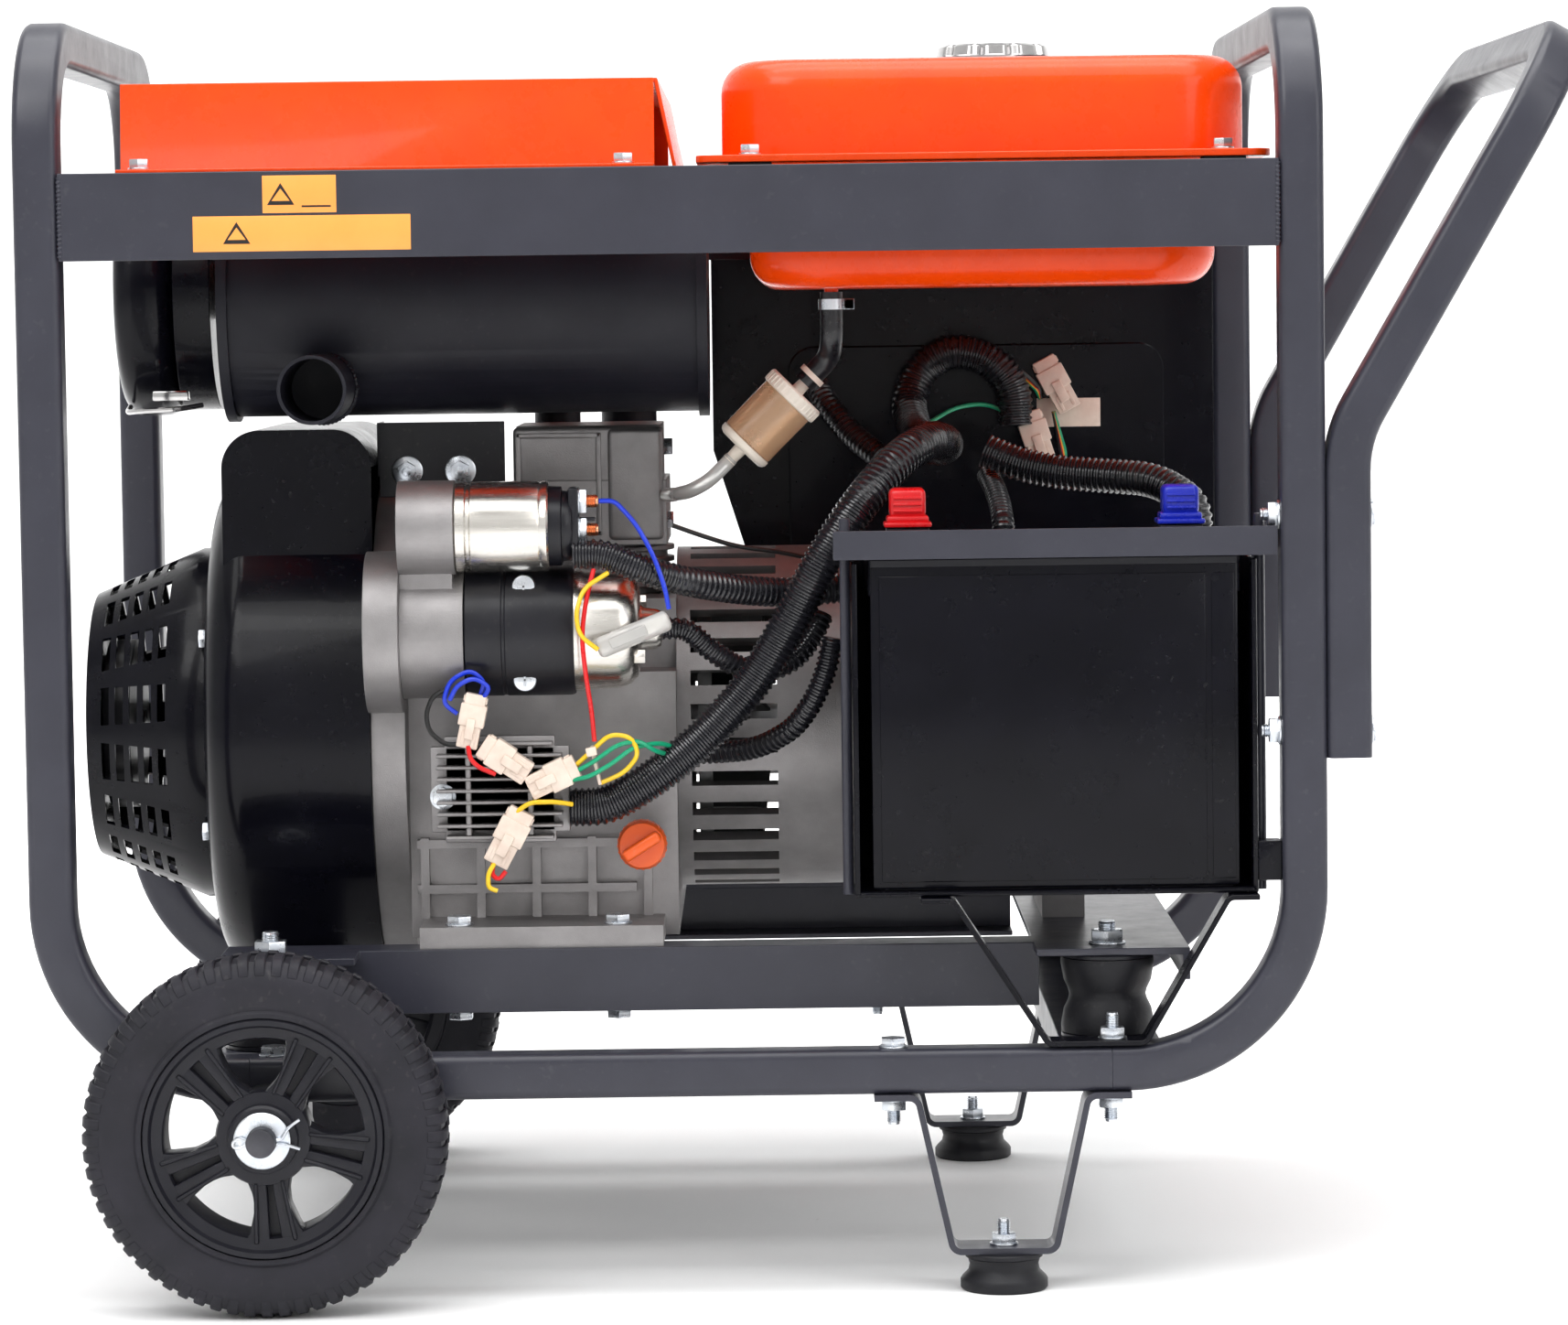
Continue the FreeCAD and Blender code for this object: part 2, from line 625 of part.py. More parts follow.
def wheel_keeper():
    """Washer outside the hub and the split pin that keeps it on the axle."""
    washer = cut(rod("y", WASHER, axle_centre, "washer_radius"),
                 rod("y", WASHER, axle_centre, "axle_radius + axle_fit"))
    pin_y = size(PIN_Y)
    wheel_x, wheel_z, reach = size("wheel_x"), size("wheel_radius"), size("axle_radius")
    head = hexagon("x", ("wheel_x - axle_radius - 7", "wheel_x - axle_radius"),
                   (PIN_Y, "wheel_radius"), "4")
    start = wheel_x + reach + size("pin_gap")
    legs = [shaped(hose(points((start, pin_y, wheel_z),
                               (start + 5, pin_y, wheel_z + lean * 2),
                               (start + 9, pin_y, wheel_z + lean * 7)), 0.9))
            for lean in (-1, 1)]
    return washer, fused(head, *legs)


keepers = wheel_keeper()
node("wheel_keepers", *keepers, *[mirrored_y(item) for item in keepers])

# ------------------------------------------------------------------ feet

strip = size("foot_strip")
foot_z = size("foot_height") + strip / 2
flange_z = size("rail_bottom") - strip / 2
foot_x = size("foot_x")


def strip_bar(route, radii, thick, wide):
    start = route[0]
    direction = (route[1] - start).normalize()
    up = direction.cross(AXES["y"])
    return bent(route, radii, square_section(start, AXES["y"], up, wide, thick, 0))


def foot_bracket(side):
    """Flat strip bent to a V that hangs below the bottom rail."""
    flat, span = size("foot_flat / 2"), size("foot_span / 2")
    end = span + size("foot_flange")
    y = side * side_y
    route = points((foot_x - end, y, flange_z), (foot_x - span, y, flange_z),
                   (foot_x - flat, y, foot_z), (foot_x + flat, y, foot_z),
                   (foot_x + span, y, flange_z), (foot_x + end, y, flange_z))
    return shaped(strip_bar(route, [size("foot_bend")] * 4, strip, size("foot_strip_width")))


node("leg_brackets", foot_bracket(-1), foot_bracket(1), near_bracket,
     mirrored_y(near_bracket))
FOOT_CENTRES = [("foot_x", "-frame_width / 2 + tube / 2"),
                ("foot_x", "frame_width / 2 - tube / 2")]
node("foot_rubbers", *[cone("z", ("0", "foot_height"), centre, ("foot_radius", "foot_waist"))
                       for centre in FOOT_CENTRES])

# ------------------------------------------------------------------ engine block

CRANK = ("0", "crank_height")
crank_z = size("crank_height")


def crankcase():
    """Ribbed die-cast case with feet, a round crank room and bearing seats at both ends."""
    left, right = "case_left", "case_right"
    block = box((left, right), ("-case_half", "case_half"), ("bed_top", "case_top - 40"))
    deck = box((left, right), ("-case_half + 36", "case_half - 36"),
               ("case_top - 40", "case_top"))
    feet = box((f"{left} + 8", f"{right} - 8"), ("-foot_plate_half", "foot_plate_half"),
               ("bed_top", "bed_top + foot_plate"))
    neck = rod("y", ("dipstick_seat", "-case_half + 4"), ("dipstick_x", "dipstick_z"),
               "dipstick_radius - 2")
    ribs = []
    for x in (-150, -118, -86, -54, -22):
        ribs.append(box((f"{x}", f"{x} + 5"), ("-case_half - 7", "-case_half"),
                        ("bed_top + foot_plate", "bed_top + foot_plate + 46")))
    for z in (26, 52):
        ribs.append(box((f"{left} + 4", f"{right} - 24"), ("-case_half - 7", "-case_half"),
                        (f"bed_top + {z}", f"bed_top + {z} + 5")))
    lugs = [box((x, f"{x} + 15"), ("regulator_back", "-case_half"),
                ("regulator_bottom + 6", "regulator_bottom + 26"))
            for x in ("regulator_left + 2", "regulator_right - 17")]
    solid = fused(block, deck, feet, neck, *ribs, *lugs)
    room = rod("x", ("case_left + case_wall", "case_right - case_wall"), CRANK, "case_cavity")
    seats = rod("x", ("case_left", "case_right"), CRANK, "bearing_radius")
    bore = rod("z", ("crank_height", "case_top"), ("barrel_x", "0"), "barrel_bore")
    well = rod("y", ("dipstick_seat", "-case_half + 60"), ("dipstick_x", "dipstick_z"),
               "dipstick_radius - 6")
    return cut(solid, room, seats, bore, well)


node("crankcase", crankcase())


def cylinder_barrel():
    """Air-cooled barrel with stacked round fins."""
    ends = ("case_top", "barrel_top")
    centre = ("barrel_x", "0")
    parts = [rod("z", ends, centre, "barrel_radius")]
    parts += [rod("z", (f"case_top + {4 + 7 * i}", f"case_top + {7 + 7 * i}"), centre,
                  "fin_radius") for i in range(4)]
    return cut(fused(*parts), rod("z", ends, centre, "barrel_bore"))


node("cylinder", cylinder_barrel())
node("piston", rod("z", ("crank_height + web_radius + web_offset + side_gap",
                         "barrel_top - 3"), ("barrel_x", "0"), "barrel_bore - side_gap"))

head = cut(box(("head_left", "head_right"), ("-head_half", "head_half"),
               ("barrel_top", "head_top")),
           *[box(("head_left", "head_left + 16"), ("-head_half", "head_half"),
                 (f"barrel_top + {7 + 8 * i}", f"barrel_top + {10 + 8 * i}"))
             for i in range(4)])
rocker = box(("head_left + 3", "head_right - 3"), ("-rocker_half", "rocker_half"),
             ("head_top", "rocker_top"))
node("cylinder_head", head, softened(rocker, 9, along("z")))

# ------------------------------------------------------------------ crank train

bearing_ends = [("case_left", "case_left + bearing_width"),
                ("case_right - bearing_width", "case_right"),
                ("cover_right - bearing_width - 4", "cover_right - 4")]


def bearing(ends, outer, inner):
    return cut(rod("x", ends, CRANK, outer), rod("x", ends, CRANK, f"{inner} + axle_fit"))


node("shaft_bearings", bearing(bearing_ends[0], "bearing_radius", "shaft_radius"),
     bearing(bearing_ends[1], "bearing_radius", "shaft_radius"),
     bearing(bearing_ends[2], "rotor_shaft_radius + 14", "rotor_shaft_radius"))


def crankshaft():
    """Shaft through the engine with two webs and the crank pin between them."""
    shaft_left = rod("x", ("flywheel_left", "barrel_x - 16 - web_width"), CRANK,
                     "shaft_radius")
    shaft_right = rod("x", ("barrel_x + 16 + web_width", "case_right"), CRANK, "shaft_radius")
    webs = [rod("x", ends, ("0", "crank_height - web_offset"), "web_radius")
            for ends in (("barrel_x - 16 - web_width", "barrel_x - 16"),
                         ("barrel_x + 16", "barrel_x + 16 + web_width"))]
    pin = rod("x", ("barrel_x - 16", "barrel_x + 16"), ("0", "crank_height + crank_throw"),
              "shaft_radius - 4")
    return fused(shaft_left, shaft_right, *webs, pin)


node("crankshaft", crankshaft())


def flywheel():
    """Cooling flywheel: a thick disc with straight fan blades on its outer face."""
    disc_ends = ("flywheel_left + blade_height", "flywheel_left + blade_height + flywheel_width")
    disc = cut(rod("x", disc_ends, CRANK, "flywheel_radius"),
               rod("x", disc_ends, CRANK, "shaft_radius"))
    left, face = size("flywheel_left"), size("flywheel_left + blade_height")
    outer, thick = size("flywheel_radius"), size("blade")
    blades = []
    for i in range(16):
        blade = Part.makeBox(face - left, thick, outer * 0.42,
                             Vector(left, -thick / 2, crank_z + outer * 0.55))
        blade.rotate(Vector(0, 0, crank_z), AXES["x"], 360 / 16 * i)
        blades.append(shaped(blade))
    return fused(disc, *blades)


node("flywheel", flywheel())
rotor_ends = ("alternator_right", "stator_right")
node("rotor", fused(
    rod("x", ("case_right", "cover_right - 6"), CRANK, "rotor_shaft_radius"),
    rod("x", rotor_ends, CRANK, "rotor_radius"),
    rod("x", ("stator_right + 12", "stator_right + 30"), CRANK, "rotor_shaft_radius + 10")))

# ------------------------------------------------------------------ flywheel side

starter_centre = ("starter_y", "starter_z")
solenoid_centre = ("solenoid_y", "solenoid_z")
FLANGE = ("flange_left", "case_left")


def flywheel_housing():
    """Round cast plate between crankcase and shroud, with the lobe that holds the starter."""
    plate = rod("x", FLANGE, CRANK, "flange_radius")
    lobe = rod("x", FLANGE, starter_centre, "lobe_radius")
    return cut(fused(plate, lobe), rod("x", FLANGE, CRANK, "bearing_radius + 6"))


node("flywheel_housing", flywheel_housing())


def fan_shroud():
    """Pressed steel scroll over the flywheel, open at the recoil starter and the case."""
    wall = "sheet"
    drum = rod("x", ("shroud_left", "flange_left"), CRANK, "shroud_radius")
    duct_y = ("-shroud_duct_half", "shroud_duct_half")
    duct = box(("shroud_duct_left", "flange_left"), duct_y, ("crank_height", "shroud_top"))
    left = size("shroud_left")
    drum = softened(drum, 24, lambda e: isinstance(e.Curve, Part.Circle)
                    and abs(e.CenterOfMass.x - left) < 1)
    duct = softened(duct, 22, along("y"))
    duct_inner = box((f"shroud_duct_left + {wall}", "flange_left"),
                     (f"-shroud_duct_half + {wall}", f"shroud_duct_half - {wall}"),
                     ("crank_height", f"shroud_top - {wall}"))
    drum_inner = rod("x", (f"shroud_left + {wall}", "flange_left"), CRANK,
                     f"shroud_radius - {wall}")
    inner_left = size(f"shroud_left + {wall}")
    drum_inner = softened(drum_inner, 22, lambda e: isinstance(e.Curve, Part.Circle)
                          and abs(e.CenterOfMass.x - inner_left) < 1)
    duct_inner = softened(duct_inner, 20, along("y"))
    mouth = rod("x", ("shroud_left", f"shroud_left + {wall}"), CRANK, "shroud_mouth")
    return cut(fused(drum, duct), drum_inner, duct_inner, mouth)


node("fan_shroud", fan_shroud())


def recoil_cover():
    """Slotted cup over the recoil starter: a cone with columns of slots all round it."""
    face, base = "recoil_face", "recoil_base"
    foot = "shroud_left"
    outer = fused(cone("x", (face, base), CRANK, ("recoil_face_radius", "recoil_base_radius")),
                  rod("x", (base, foot), CRANK, "recoil_base_radius"))
    inner = fused(cone("x", (f"{face} + sheet", base), CRANK,
                       ("recoil_face_radius - sheet", "recoil_base_radius - sheet")),
                  rod("x", (base, foot), CRANK, "recoil_base_radius - sheet"))
    slots = []
    turns = int(size("slot_turns"))
    first = size("recoil_face + slot_start")
    tall = size("recoil_base_radius - recoil_face_radius") + 30
    for i in range(turns * int(size("slot_columns"))):
        column = i // turns
        x = first + size("slot_pitch") * column
        slot = Part.makeBox(size("slot_width"), size("slot_length"), tall,
                            Vector(x, -size("slot_length / 2"),
                                   crank_z + size("recoil_face_radius - 16")))
        slot.rotate(Vector(0, 0, crank_z), AXES["x"], 360 / turns * (i % turns + 0.5))
        slots.append(shaped(slot))
    cup = cut(outer, inner, *slots)
    post = rod("x", (f"{face} + sheet", f"{face} + sheet + reel_width + 8"), CRANK, "8")
    return fused(cup, post)


node("recoil_cover", recoil_cover())
reel_ends = ("recoil_face + sheet + 4", "recoil_face + sheet + 4 + reel_width")
node("recoil_reel", cut(rod("x", reel_ends, CRANK, "reel_radius"),
                        rod("x", reel_ends, CRANK, "8 + side_gap")))
GRIP_Y = "recoil_base_radius + side_gap"
grip_centre = ("recoil_base + 4", "crank_height")
node("recoil_grip", fused(
    rod("y", (GRIP_Y, "recoil_base_radius + 14"), grip_centre, "5"),
    box(("recoil_base - 2", "recoil_base + 10"),
        ("recoil_base_radius + 14", "recoil_base_radius + 28"),
        ("crank_height - 36", "crank_height + 36"))))

# ------------------------------------------------------------------ starter and regulator

DRIVE = ("drive_left", "starter_left")


def starter_housing():
    """Cast drive end that carries the starter and, above it, the solenoid."""
    lower = rod("x", DRIVE, starter_centre, "starter_radius + 1")
    upper = rod("x", (DRIVE[0], f"{DRIVE[1]} - 4"), solenoid_centre, "solenoid_radius + 1")
    web = box((DRIVE[0], f"{DRIVE[1]} - 6"), ("solenoid_y - 6", "starter_y + 16"),
              ("starter_z", "solenoid_z - 4"))
    return fused(lower, upper, web)


node("starter_housing", starter_housing())
node("starter_motor", fused(
    rod("x", ("starter_left", "starter_right"), starter_centre, "starter_radius"),
    rod("x", ("starter_right", "starter_nose"), starter_centre, "starter_radius - 2"),
    rod("x", ("starter_nose", "starter_boss"), starter_centre, "10")))
node("starter_solenoid",
     fused(rod("x", (f"{DRIVE[1]} - 4", "solenoid_cap"), solenoid_centre, "solenoid_radius"),
           rod("x", ("solenoid_cap", "solenoid_end"), solenoid_centre,
               "solenoid_radius - 3"),
           rod("x", ("solenoid_end", "solenoid_end + 15"),
               ("solenoid_y - 6", "solenoid_z - 2"), "4"),
           rod("x", ("solenoid_end", "solenoid_end + 15"),
               ("solenoid_y - 6", "solenoid_z + 14"), "4")))


def regulator():
    """Finned aluminium block of the charge regulator."""
    block = box(("regulator_left", "regulator_right"), ("regulator_back - 6", "regulator_back"),
                ("regulator_bottom", "regulator_top"))
    fins = [box((f"regulator_left + {16 + 7.5 * i}", f"regulator_left + {19 + 7.5 * i}"),
                ("regulator_face", "regulator_back - 6"),
                ("regulator_bottom + 4", "regulator_top")) for i in range(7)]
    return fused(block, *fins)


node("regulator", regulator())
DIPSTICK = ("dipstick_x", "dipstick_z")
node("dipstick", fused(
    rod("y", ("dipstick_seat - side_gap - dipstick_depth", "dipstick_seat - side_gap"),
        DIPSTICK, "dipstick_radius"),
    box(("dipstick_x - dipstick_radius + 2", "dipstick_x + dipstick_radius - 2"),
        ("dipstick_seat - side_gap - dipstick_depth - 6",
         "dipstick_seat - side_gap - dipstick_depth"), ("dipstick_z - 3", "dipstick_z + 3")),
    rod("y", ("dipstick_seat - side_gap", "-case_half + 50"), DIPSTICK, "3")))

LEVER = ("head_left + 30", "head_top + 16")
node("decompression_lever", fused(
    rod("y", ("rocker_half + side_gap", "rocker_half + 12"), LEVER, "6"),
    box(("head_left + 26", "head_left + 70"), ("rocker_half + 6", "rocker_half + 10"),
        ("head_top + 13", "head_top + 19"))))

# ------------------------------------------------------------------ exhaust and intake

MUFFLER = ("muffler_y", "muffler_z")


def muffler():
    """Round muffler with rolled end rims and the outlet pipe towards the battery side."""
    drum = rod("x", ("muffler_left + 3", "muffler_right - 3"), MUFFLER, "muffler_radius - 3")
    rims = [rod("x", ends, MUFFLER, "muffler_radius")
            for ends in (("muffler_left", "muffler_left + 6"),
                         ("muffler_right - 6", "muffler_right"))]
    outlet = rod("y", ("outlet_end", "muffler_y - 20"), ("outlet_x", "outlet_z"),
                 "outlet_radius")
    bore = rod("y", ("outlet_end", "muffler_y - 60"), ("outlet_x", "outlet_z"),
               "outlet_radius - sheet")
    return cut(fused(drum, *rims, outlet), bore)


node("muffler", muffler())

elbow_x, elbow_z = size("head_left + 22"), size("head_top - 18")
elbow_y = size("head_half")
exhaust_route = points((elbow_x, elbow_y, elbow_z), (elbow_x, elbow_y + 34, elbow_z),
                       (elbow_x, elbow_y + 34, size("muffler_z")),
                       (elbow_x, size("muffler_y + muffler_radius - 3") - 8,
                        size("muffler_z")))
exhaust = bent(exhaust_route, [26, 26], round_section(exhaust_route[0], AXES["y"], 14))
drum_again = rod("x", ("muffler_left + 3", "muffler_right - 3"), MUFFLER, "muffler_radius - 3")
exhaust_elbow = cut(shaped(exhaust), drum_again)

intake_y, intake_z = elbow_y + 62, size("cleaner_z")
intake_route = points((size("cleaner_right"), intake_y, intake_z),
                      (size("head_right") - 26, intake_y, intake_z),
                      (size("head_right") - 26, intake_y, elbow_z),
                      (size("head_right") - 26, elbow_y, elbow_z))
intake_pipe = shaped(bent(intake_route, [34, 34],
                          round_section(intake_route[0], AXES["x"], 17)))
node("engine_pipes", exhaust_elbow, intake_pipe)

CLEANER = ("cleaner_y", "cleaner_z")
cleaner_bowl = rod("x", ("cleaner_split", "cleaner_right"), CLEANER, "cleaner_radius - 3")
cleaner_cap = rod("x", ("cleaner_left", "cleaner_split"), CLEANER, "cleaner_radius")
node("air_cleaner", cleaner_bowl,
     softened(cleaner_cap, 12, lambda e: isinstance(e.Curve, Part.Circle)))


def heat_shield():
    """Folded sheet over the muffler: two flanges, two leaning walls, a flat top, an end flap."""
    half, top, low = "shield_half", "shield_top", "tank_seam - pad"
    thin = "sheet"
    outer = profile_body(
        "shield", "YZ",
        [(f"-{half} - 26", low), (f"-{half}", low), (f"-{half} + 4 + {thin}", f"{top} - {thin}"),
         (f"{half} - 4 - {thin}", f"{top} - {thin}"), (half, low), (f"{half} + 26", low),
         (f"{half} + 26", f"{low} + {thin}"), (f"{half} + {thin}", f"{low} + {thin}"),
         (f"{half} - 4", top), (f"-{half} + 4", top), (f"-{half} - {thin}", f"{low} + {thin}"),
         (f"-{half} - 26", f"{low} + {thin}")],
        ("shield_left", "shield_right"))
    flap = profile_body(
        "flap", "XZ",
        [("shield_right", f"{top} - {thin}"), ("shield_right", top),
         (f"shield_right + {thin}", top), ("shield_right + 12", low), ("shield_right + 10", low)],
        (f"-{half} + 8", f"{half} - 8"))
    return fused(outer, flap)


node("heat_shield", heat_shield())

# ------------------------------------------------------------------ fuel system


def tank_shell(grow, z, corner, edge, side):
    """Pressed half of the tank: a block with round corners and one softened face."""
    x = (f"tank_left + {grow}", f"tank_right - {grow}")
    y = (f"-tank_half + {grow}", f"tank_half - {grow}")
    block = softened(box(x, y, z), corner, along("z"))
    height = size(z[side])
    return softened(block, edge, lambda e: abs(e.BoundBox.ZMin - height) < 0.5
                    and abs(e.BoundBox.ZMax - height) < 0.5)


corner = size("tank_corner")
seam_z = ("tank_seam", "tank_seam + seam_height")
seam = softened(box(("tank_left - seam_reach", "tank_right + 10"),
                    ("-seam_half", "seam_half"), seam_z), 12, along("z"))
upper = tank_shell("0", (seam_z[1], "tank_top"), corner, 18, 1)
lower = tank_shell("tank_lower_inset", ("tank_bottom", seam_z[0]), corner, 18, 0)
CAP = ("cap_x", "0")
neck = rod("z", ("tank_top", "tank_top + neck_height"), CAP, "cap_radius - 8")
gauge = rod("z", ("tank_top", "tank_top + 7"), ("gauge_x", "0"), "5")
nipple = rod("z", ("tank_bottom - 14", "tank_bottom"), ("nipple_x", "nipple_y"), "4")
node("fuel_tank", fused(seam, upper, lower, neck, gauge, nipple))
cap_z = ("tank_top + neck_height + side_gap", "tank_top + neck_height + side_gap + cap_height")
node("fuel_cap", softened(rod("z", cap_z, CAP, "cap_radius"), 4,
                          lambda e: isinstance(e.Curve, Part.Circle)
                          and e.CenterOfMass.z > size(cap_z[1]) - 1))

filter_low, filter_high = points((37, -120, 467), (70, -120, 500))
filter_axis = (filter_high - filter_low).normalize()
bowl = Part.makeCylinder(17, (filter_high - filter_low).Length, filter_low, filter_axis)
bowl = bowl.fuse([
    Part.makeCylinder(18.5, 8, filter_high - filter_axis * 8, filter_axis),
    Part.makeCylinder(4, 12, filter_high, filter_axis),
    Part.makeCylinder(4, 12, filter_low - filter_axis * 12, filter_axis)])
node("fuel_filter", shaped(bowl.removeSplitter()))
top_end = filter_high + filter_axis * 12
low_end = filter_low - filter_axis * 12
nipple_end = Vector(size("nipple_x"), size("nipple_y"), size("tank_bottom") - 14)
feed = [nipple_end, nipple_end + Vector(0, 0, -15), top_end + filter_axis * 14, top_end]
supply = [low_end, low_end - filter_axis * 13,
          *points((8, -112, 443), (1, -96, 441), (0, -78, 440), (-7, -62, 439))]
node("fuel_hoses", shaped(hose(feed, 6.5)), shaped(hose(supply, 4.2)))

# ------------------------------------------------------------------ alternator


def ring_slots(ends, outer, inner, count, width):
    """Radial windows around a round casting."""
    low, high = size(ends[0]), size(ends[1])
    slots = []
    for i in range(count):
        slot = Part.makeBox(high - low, width, outer - inner + 4,
                            Vector(low, -width / 2, crank_z + inner - 2))
        slot.rotate(Vector(0, 0, crank_z), AXES["x"], 360 / count * (i + 0.5))
        slots.append(shaped(slot))
    return slots


def alternator_housing():
    """Cast intermediate housing: closed by the crankcase on its left, slotted all round."""
    ends = ("case_right", "alternator_right")
    outer = rod("x", ends, CRANK, "alternator_radius")
    inner = rod("x", ends, CRANK, "alternator_radius - casting_wall")
    slots = ring_slots(("case_right + 8", "case_right + 58"), size("alternator_radius"),
                       size("alternator_radius - casting_wall"), 32, 9)
    return cut(outer, inner, *slots)


def alternator_cover():
    """Cast rear cover with the bearing seat, air slots and the foot on the bed plate."""
    ends = ("stator_right", "cover_right")
    outer = rod("x", ends, CRANK, "alternator_radius - 4")
    foot = box(("stator_right + 40", "cover_right"), ("-62", "62"),
               ("bed_top", "crank_height - alternator_radius + 30"))
    inner = rod("x", ("stator_right", "cover_right - 20"), CRANK,
                "alternator_radius - 4 - casting_wall")
    seat = rod("x", (bearing_ends[2][0], "cover_right - 4"), CRANK, "rotor_shaft_radius + 14")
    slots = ring_slots(("stator_right + 10", "cover_right - 24"),
                       size("alternator_radius - 4"),
                       size("alternator_radius - 4 - casting_wall"), 28, 9)
    kept = [s for s in slots if s.Shape.CenterOfMass.z > crank_z - 60]
    return cut(fused(outer, foot), inner, seat, *kept)


node("alternator_housing", alternator_housing())
node("alternator_cover", alternator_cover())
stator_ends = ("alternator_right", "stator_right")
node("stator", cut(rod("x", stator_ends, CRANK, "alternator_radius - 2"),
                   rod("x", stator_ends, CRANK, "rotor_radius + air_gap")))

# ------------------------------------------------------------------ control panel


def panel_box():
    """Sheet case between the far top rail and the far post, open towards the far side."""
    outline = [("panel_left + panel_slant", "panel_bottom"), ("panel_right", "panel_bottom"),
               ("panel_right", "top_rail_bottom"), ("panel_left", "top_rail_bottom"),
               ("panel_left", "top_rail_bottom - 120")]
    inner = [("panel_left + panel_slant + sheet", "panel_bottom + sheet"),
             ("panel_right - sheet", "panel_bottom + sheet"),
             ("panel_right - sheet", "top_rail_bottom - sheet"),
             ("panel_left + sheet", "top_rail_bottom - sheet"),
             ("panel_left + sheet", "top_rail_bottom - 120")]
    outer = profile_body("panel_box", "XZ", outline, ("panel_back", "panel_front"))
    hollow = profile_body("panel_room", "XZ", inner, ("panel_back + sheet", "panel_front"))
    emboss = box(("panel_left + panel_slant + 8", "panel_right - 32"),
                 ("panel_back - 5", "panel_back"), ("panel_bottom + 20", "top_rail_bottom - 56"))
    return fused(cut(outer, hollow), softened(emboss, 16, along("y")))


node("panel_box", panel_box())
FASCIA = ("panel_front", "panel_front + fascia")
fascia = profile_body(
    "fascia", "XZ",
    [("panel_left + panel_slant", "panel_bottom"), ("panel_right", "panel_bottom"),
     ("panel_right", "top_rail_bottom"), ("panel_left", "top_rail_bottom"),
     ("panel_left", "top_rail_bottom - 120")], FASCIA)
controls_z = "panel_bottom + 175"
KNOB = ("panel_left + 100", controls_z)
KEY = ("panel_left + 160", controls_z)
BREAKER = ("panel_left + 215", controls_z)
GAUGE = ("panel_left + 270", controls_z)
SOCKETS = [(f"panel_left + {x}", "panel_bottom + 105") for x in (100, 170)]
TERMINALS = [(f"panel_left + {x}", "panel_bottom + 45") for x in (110, 260)]
OUT = "panel_front + fascia"
breaker_slot = box((f"{BREAKER[0]} - 6 - side_gap", f"{BREAKER[0]} + 6 + side_gap"), FASCIA,
                   (f"{BREAKER[1]} - 14", f"{BREAKER[1]} + 14"))
voltmeter = fused(rod("y", (OUT, f"{OUT} + 6"), GAUGE, "22"),
                  rod("y", (f"{OUT} + 6", f"{OUT} + 9"), GAUGE, "19"))
node("panel_fascia", cut(fascia, breaker_slot), voltmeter)
weld_terminals = [fused(rod("y", (OUT, f"{OUT} + 8"), centre, "terminal_radius + 7"),
                        rod("y", (f"{OUT} + 8", f"{OUT} + 26"), centre, "terminal_radius"))
                  for centre in TERMINALS]
sockets = [cut(rod("y", (OUT, f"{OUT} + 14"), centre, "socket_radius"),
               rod("y", (f"{OUT} + 4", f"{OUT} + 14"), centre, "socket_radius - 4"))
           for centre in SOCKETS]
node("panel_outlets", *weld_terminals, *sockets)


def turning_knob(centre, radius, depth, ridge):
    return fused(rod("y", (f"{OUT} + side_gap", f"{OUT} + side_gap + {depth}"), centre, radius),
                 box((f"{centre[0]} - 2", f"{centre[0]} + 2"),
                     (f"{OUT} + side_gap + {depth}", f"{OUT} + side_gap + {depth} + {ridge}"),
                     (f"{centre[1]} - {radius} + 2", f"{centre[1]} + {radius} - 2")))


node("current_knob", turning_knob(KNOB, "knob_radius", 14, 5))
node("start_key", turning_knob(KEY, "key_radius", 6, 18))
node("breaker_toggle", softened(box(
    (f"{BREAKER[0]} - 6", f"{BREAKER[0]} + 6"), ("panel_front - 8", f"{OUT} + 12"),
    (f"{BREAKER[1]} - 4", f"{BREAKER[1]} + 4")), 1.5, along("x")))

# ------------------------------------------------------------------ battery


def battery():
    """Starting battery: case, lid and two terminal posts."""
    case = box(("battery_left", "battery_right"), ("battery_front", "battery_back"),
               ("battery_bottom", "battery_top - 20"))
    lid = box(("battery_left - 3", "battery_right + 3"),
              ("battery_front - 3", "battery_back + 2"), ("battery_top - 20", "battery_top"))
    posts = []
    for x in ("red_x", "blue_x"):
        posts.append(box((f"{x} - post_size / 2", f"{x} + post_size / 2"),
                         ("post_y - post_size / 2", "post_y + post_size / 2"),
                         ("battery_top", "battery_top + post_height")))
        posts.append(rod("z", ("battery_top + post_height", "battery_top + post_height + 7"),
                         (x, "post_y"), "stem_radius"))
    return fused(softened(fused(case, lid), 3, along("z")), *posts)


node("battery", battery())


def battery_tray():
    """Folded sheet tray: floor, back and two sides, open at the front, with its strut."""
    inner_y = ("battery_front - 4", "battery_back + 4")
    outer_y = (inner_y[0], f"{inner_y[1]} + tray_wall")
    outer = box(("tray_left", "tray_right"), outer_y,
                ("battery_bottom - tray_wall", "tray_top"))
    room = box(("tray_left + tray_wall", "tray_right - tray_wall"), inner_y,
               ("battery_bottom", "tray_top"))
    tab = box(("tray_right", "frame_length / 2 - tube"),
              ("-frame_width / 2 + 8", "-frame_width / 2 + 24"),
              ("battery_bottom + 4", "battery_bottom + 26"))
    return fused(cut(outer, room), tab)


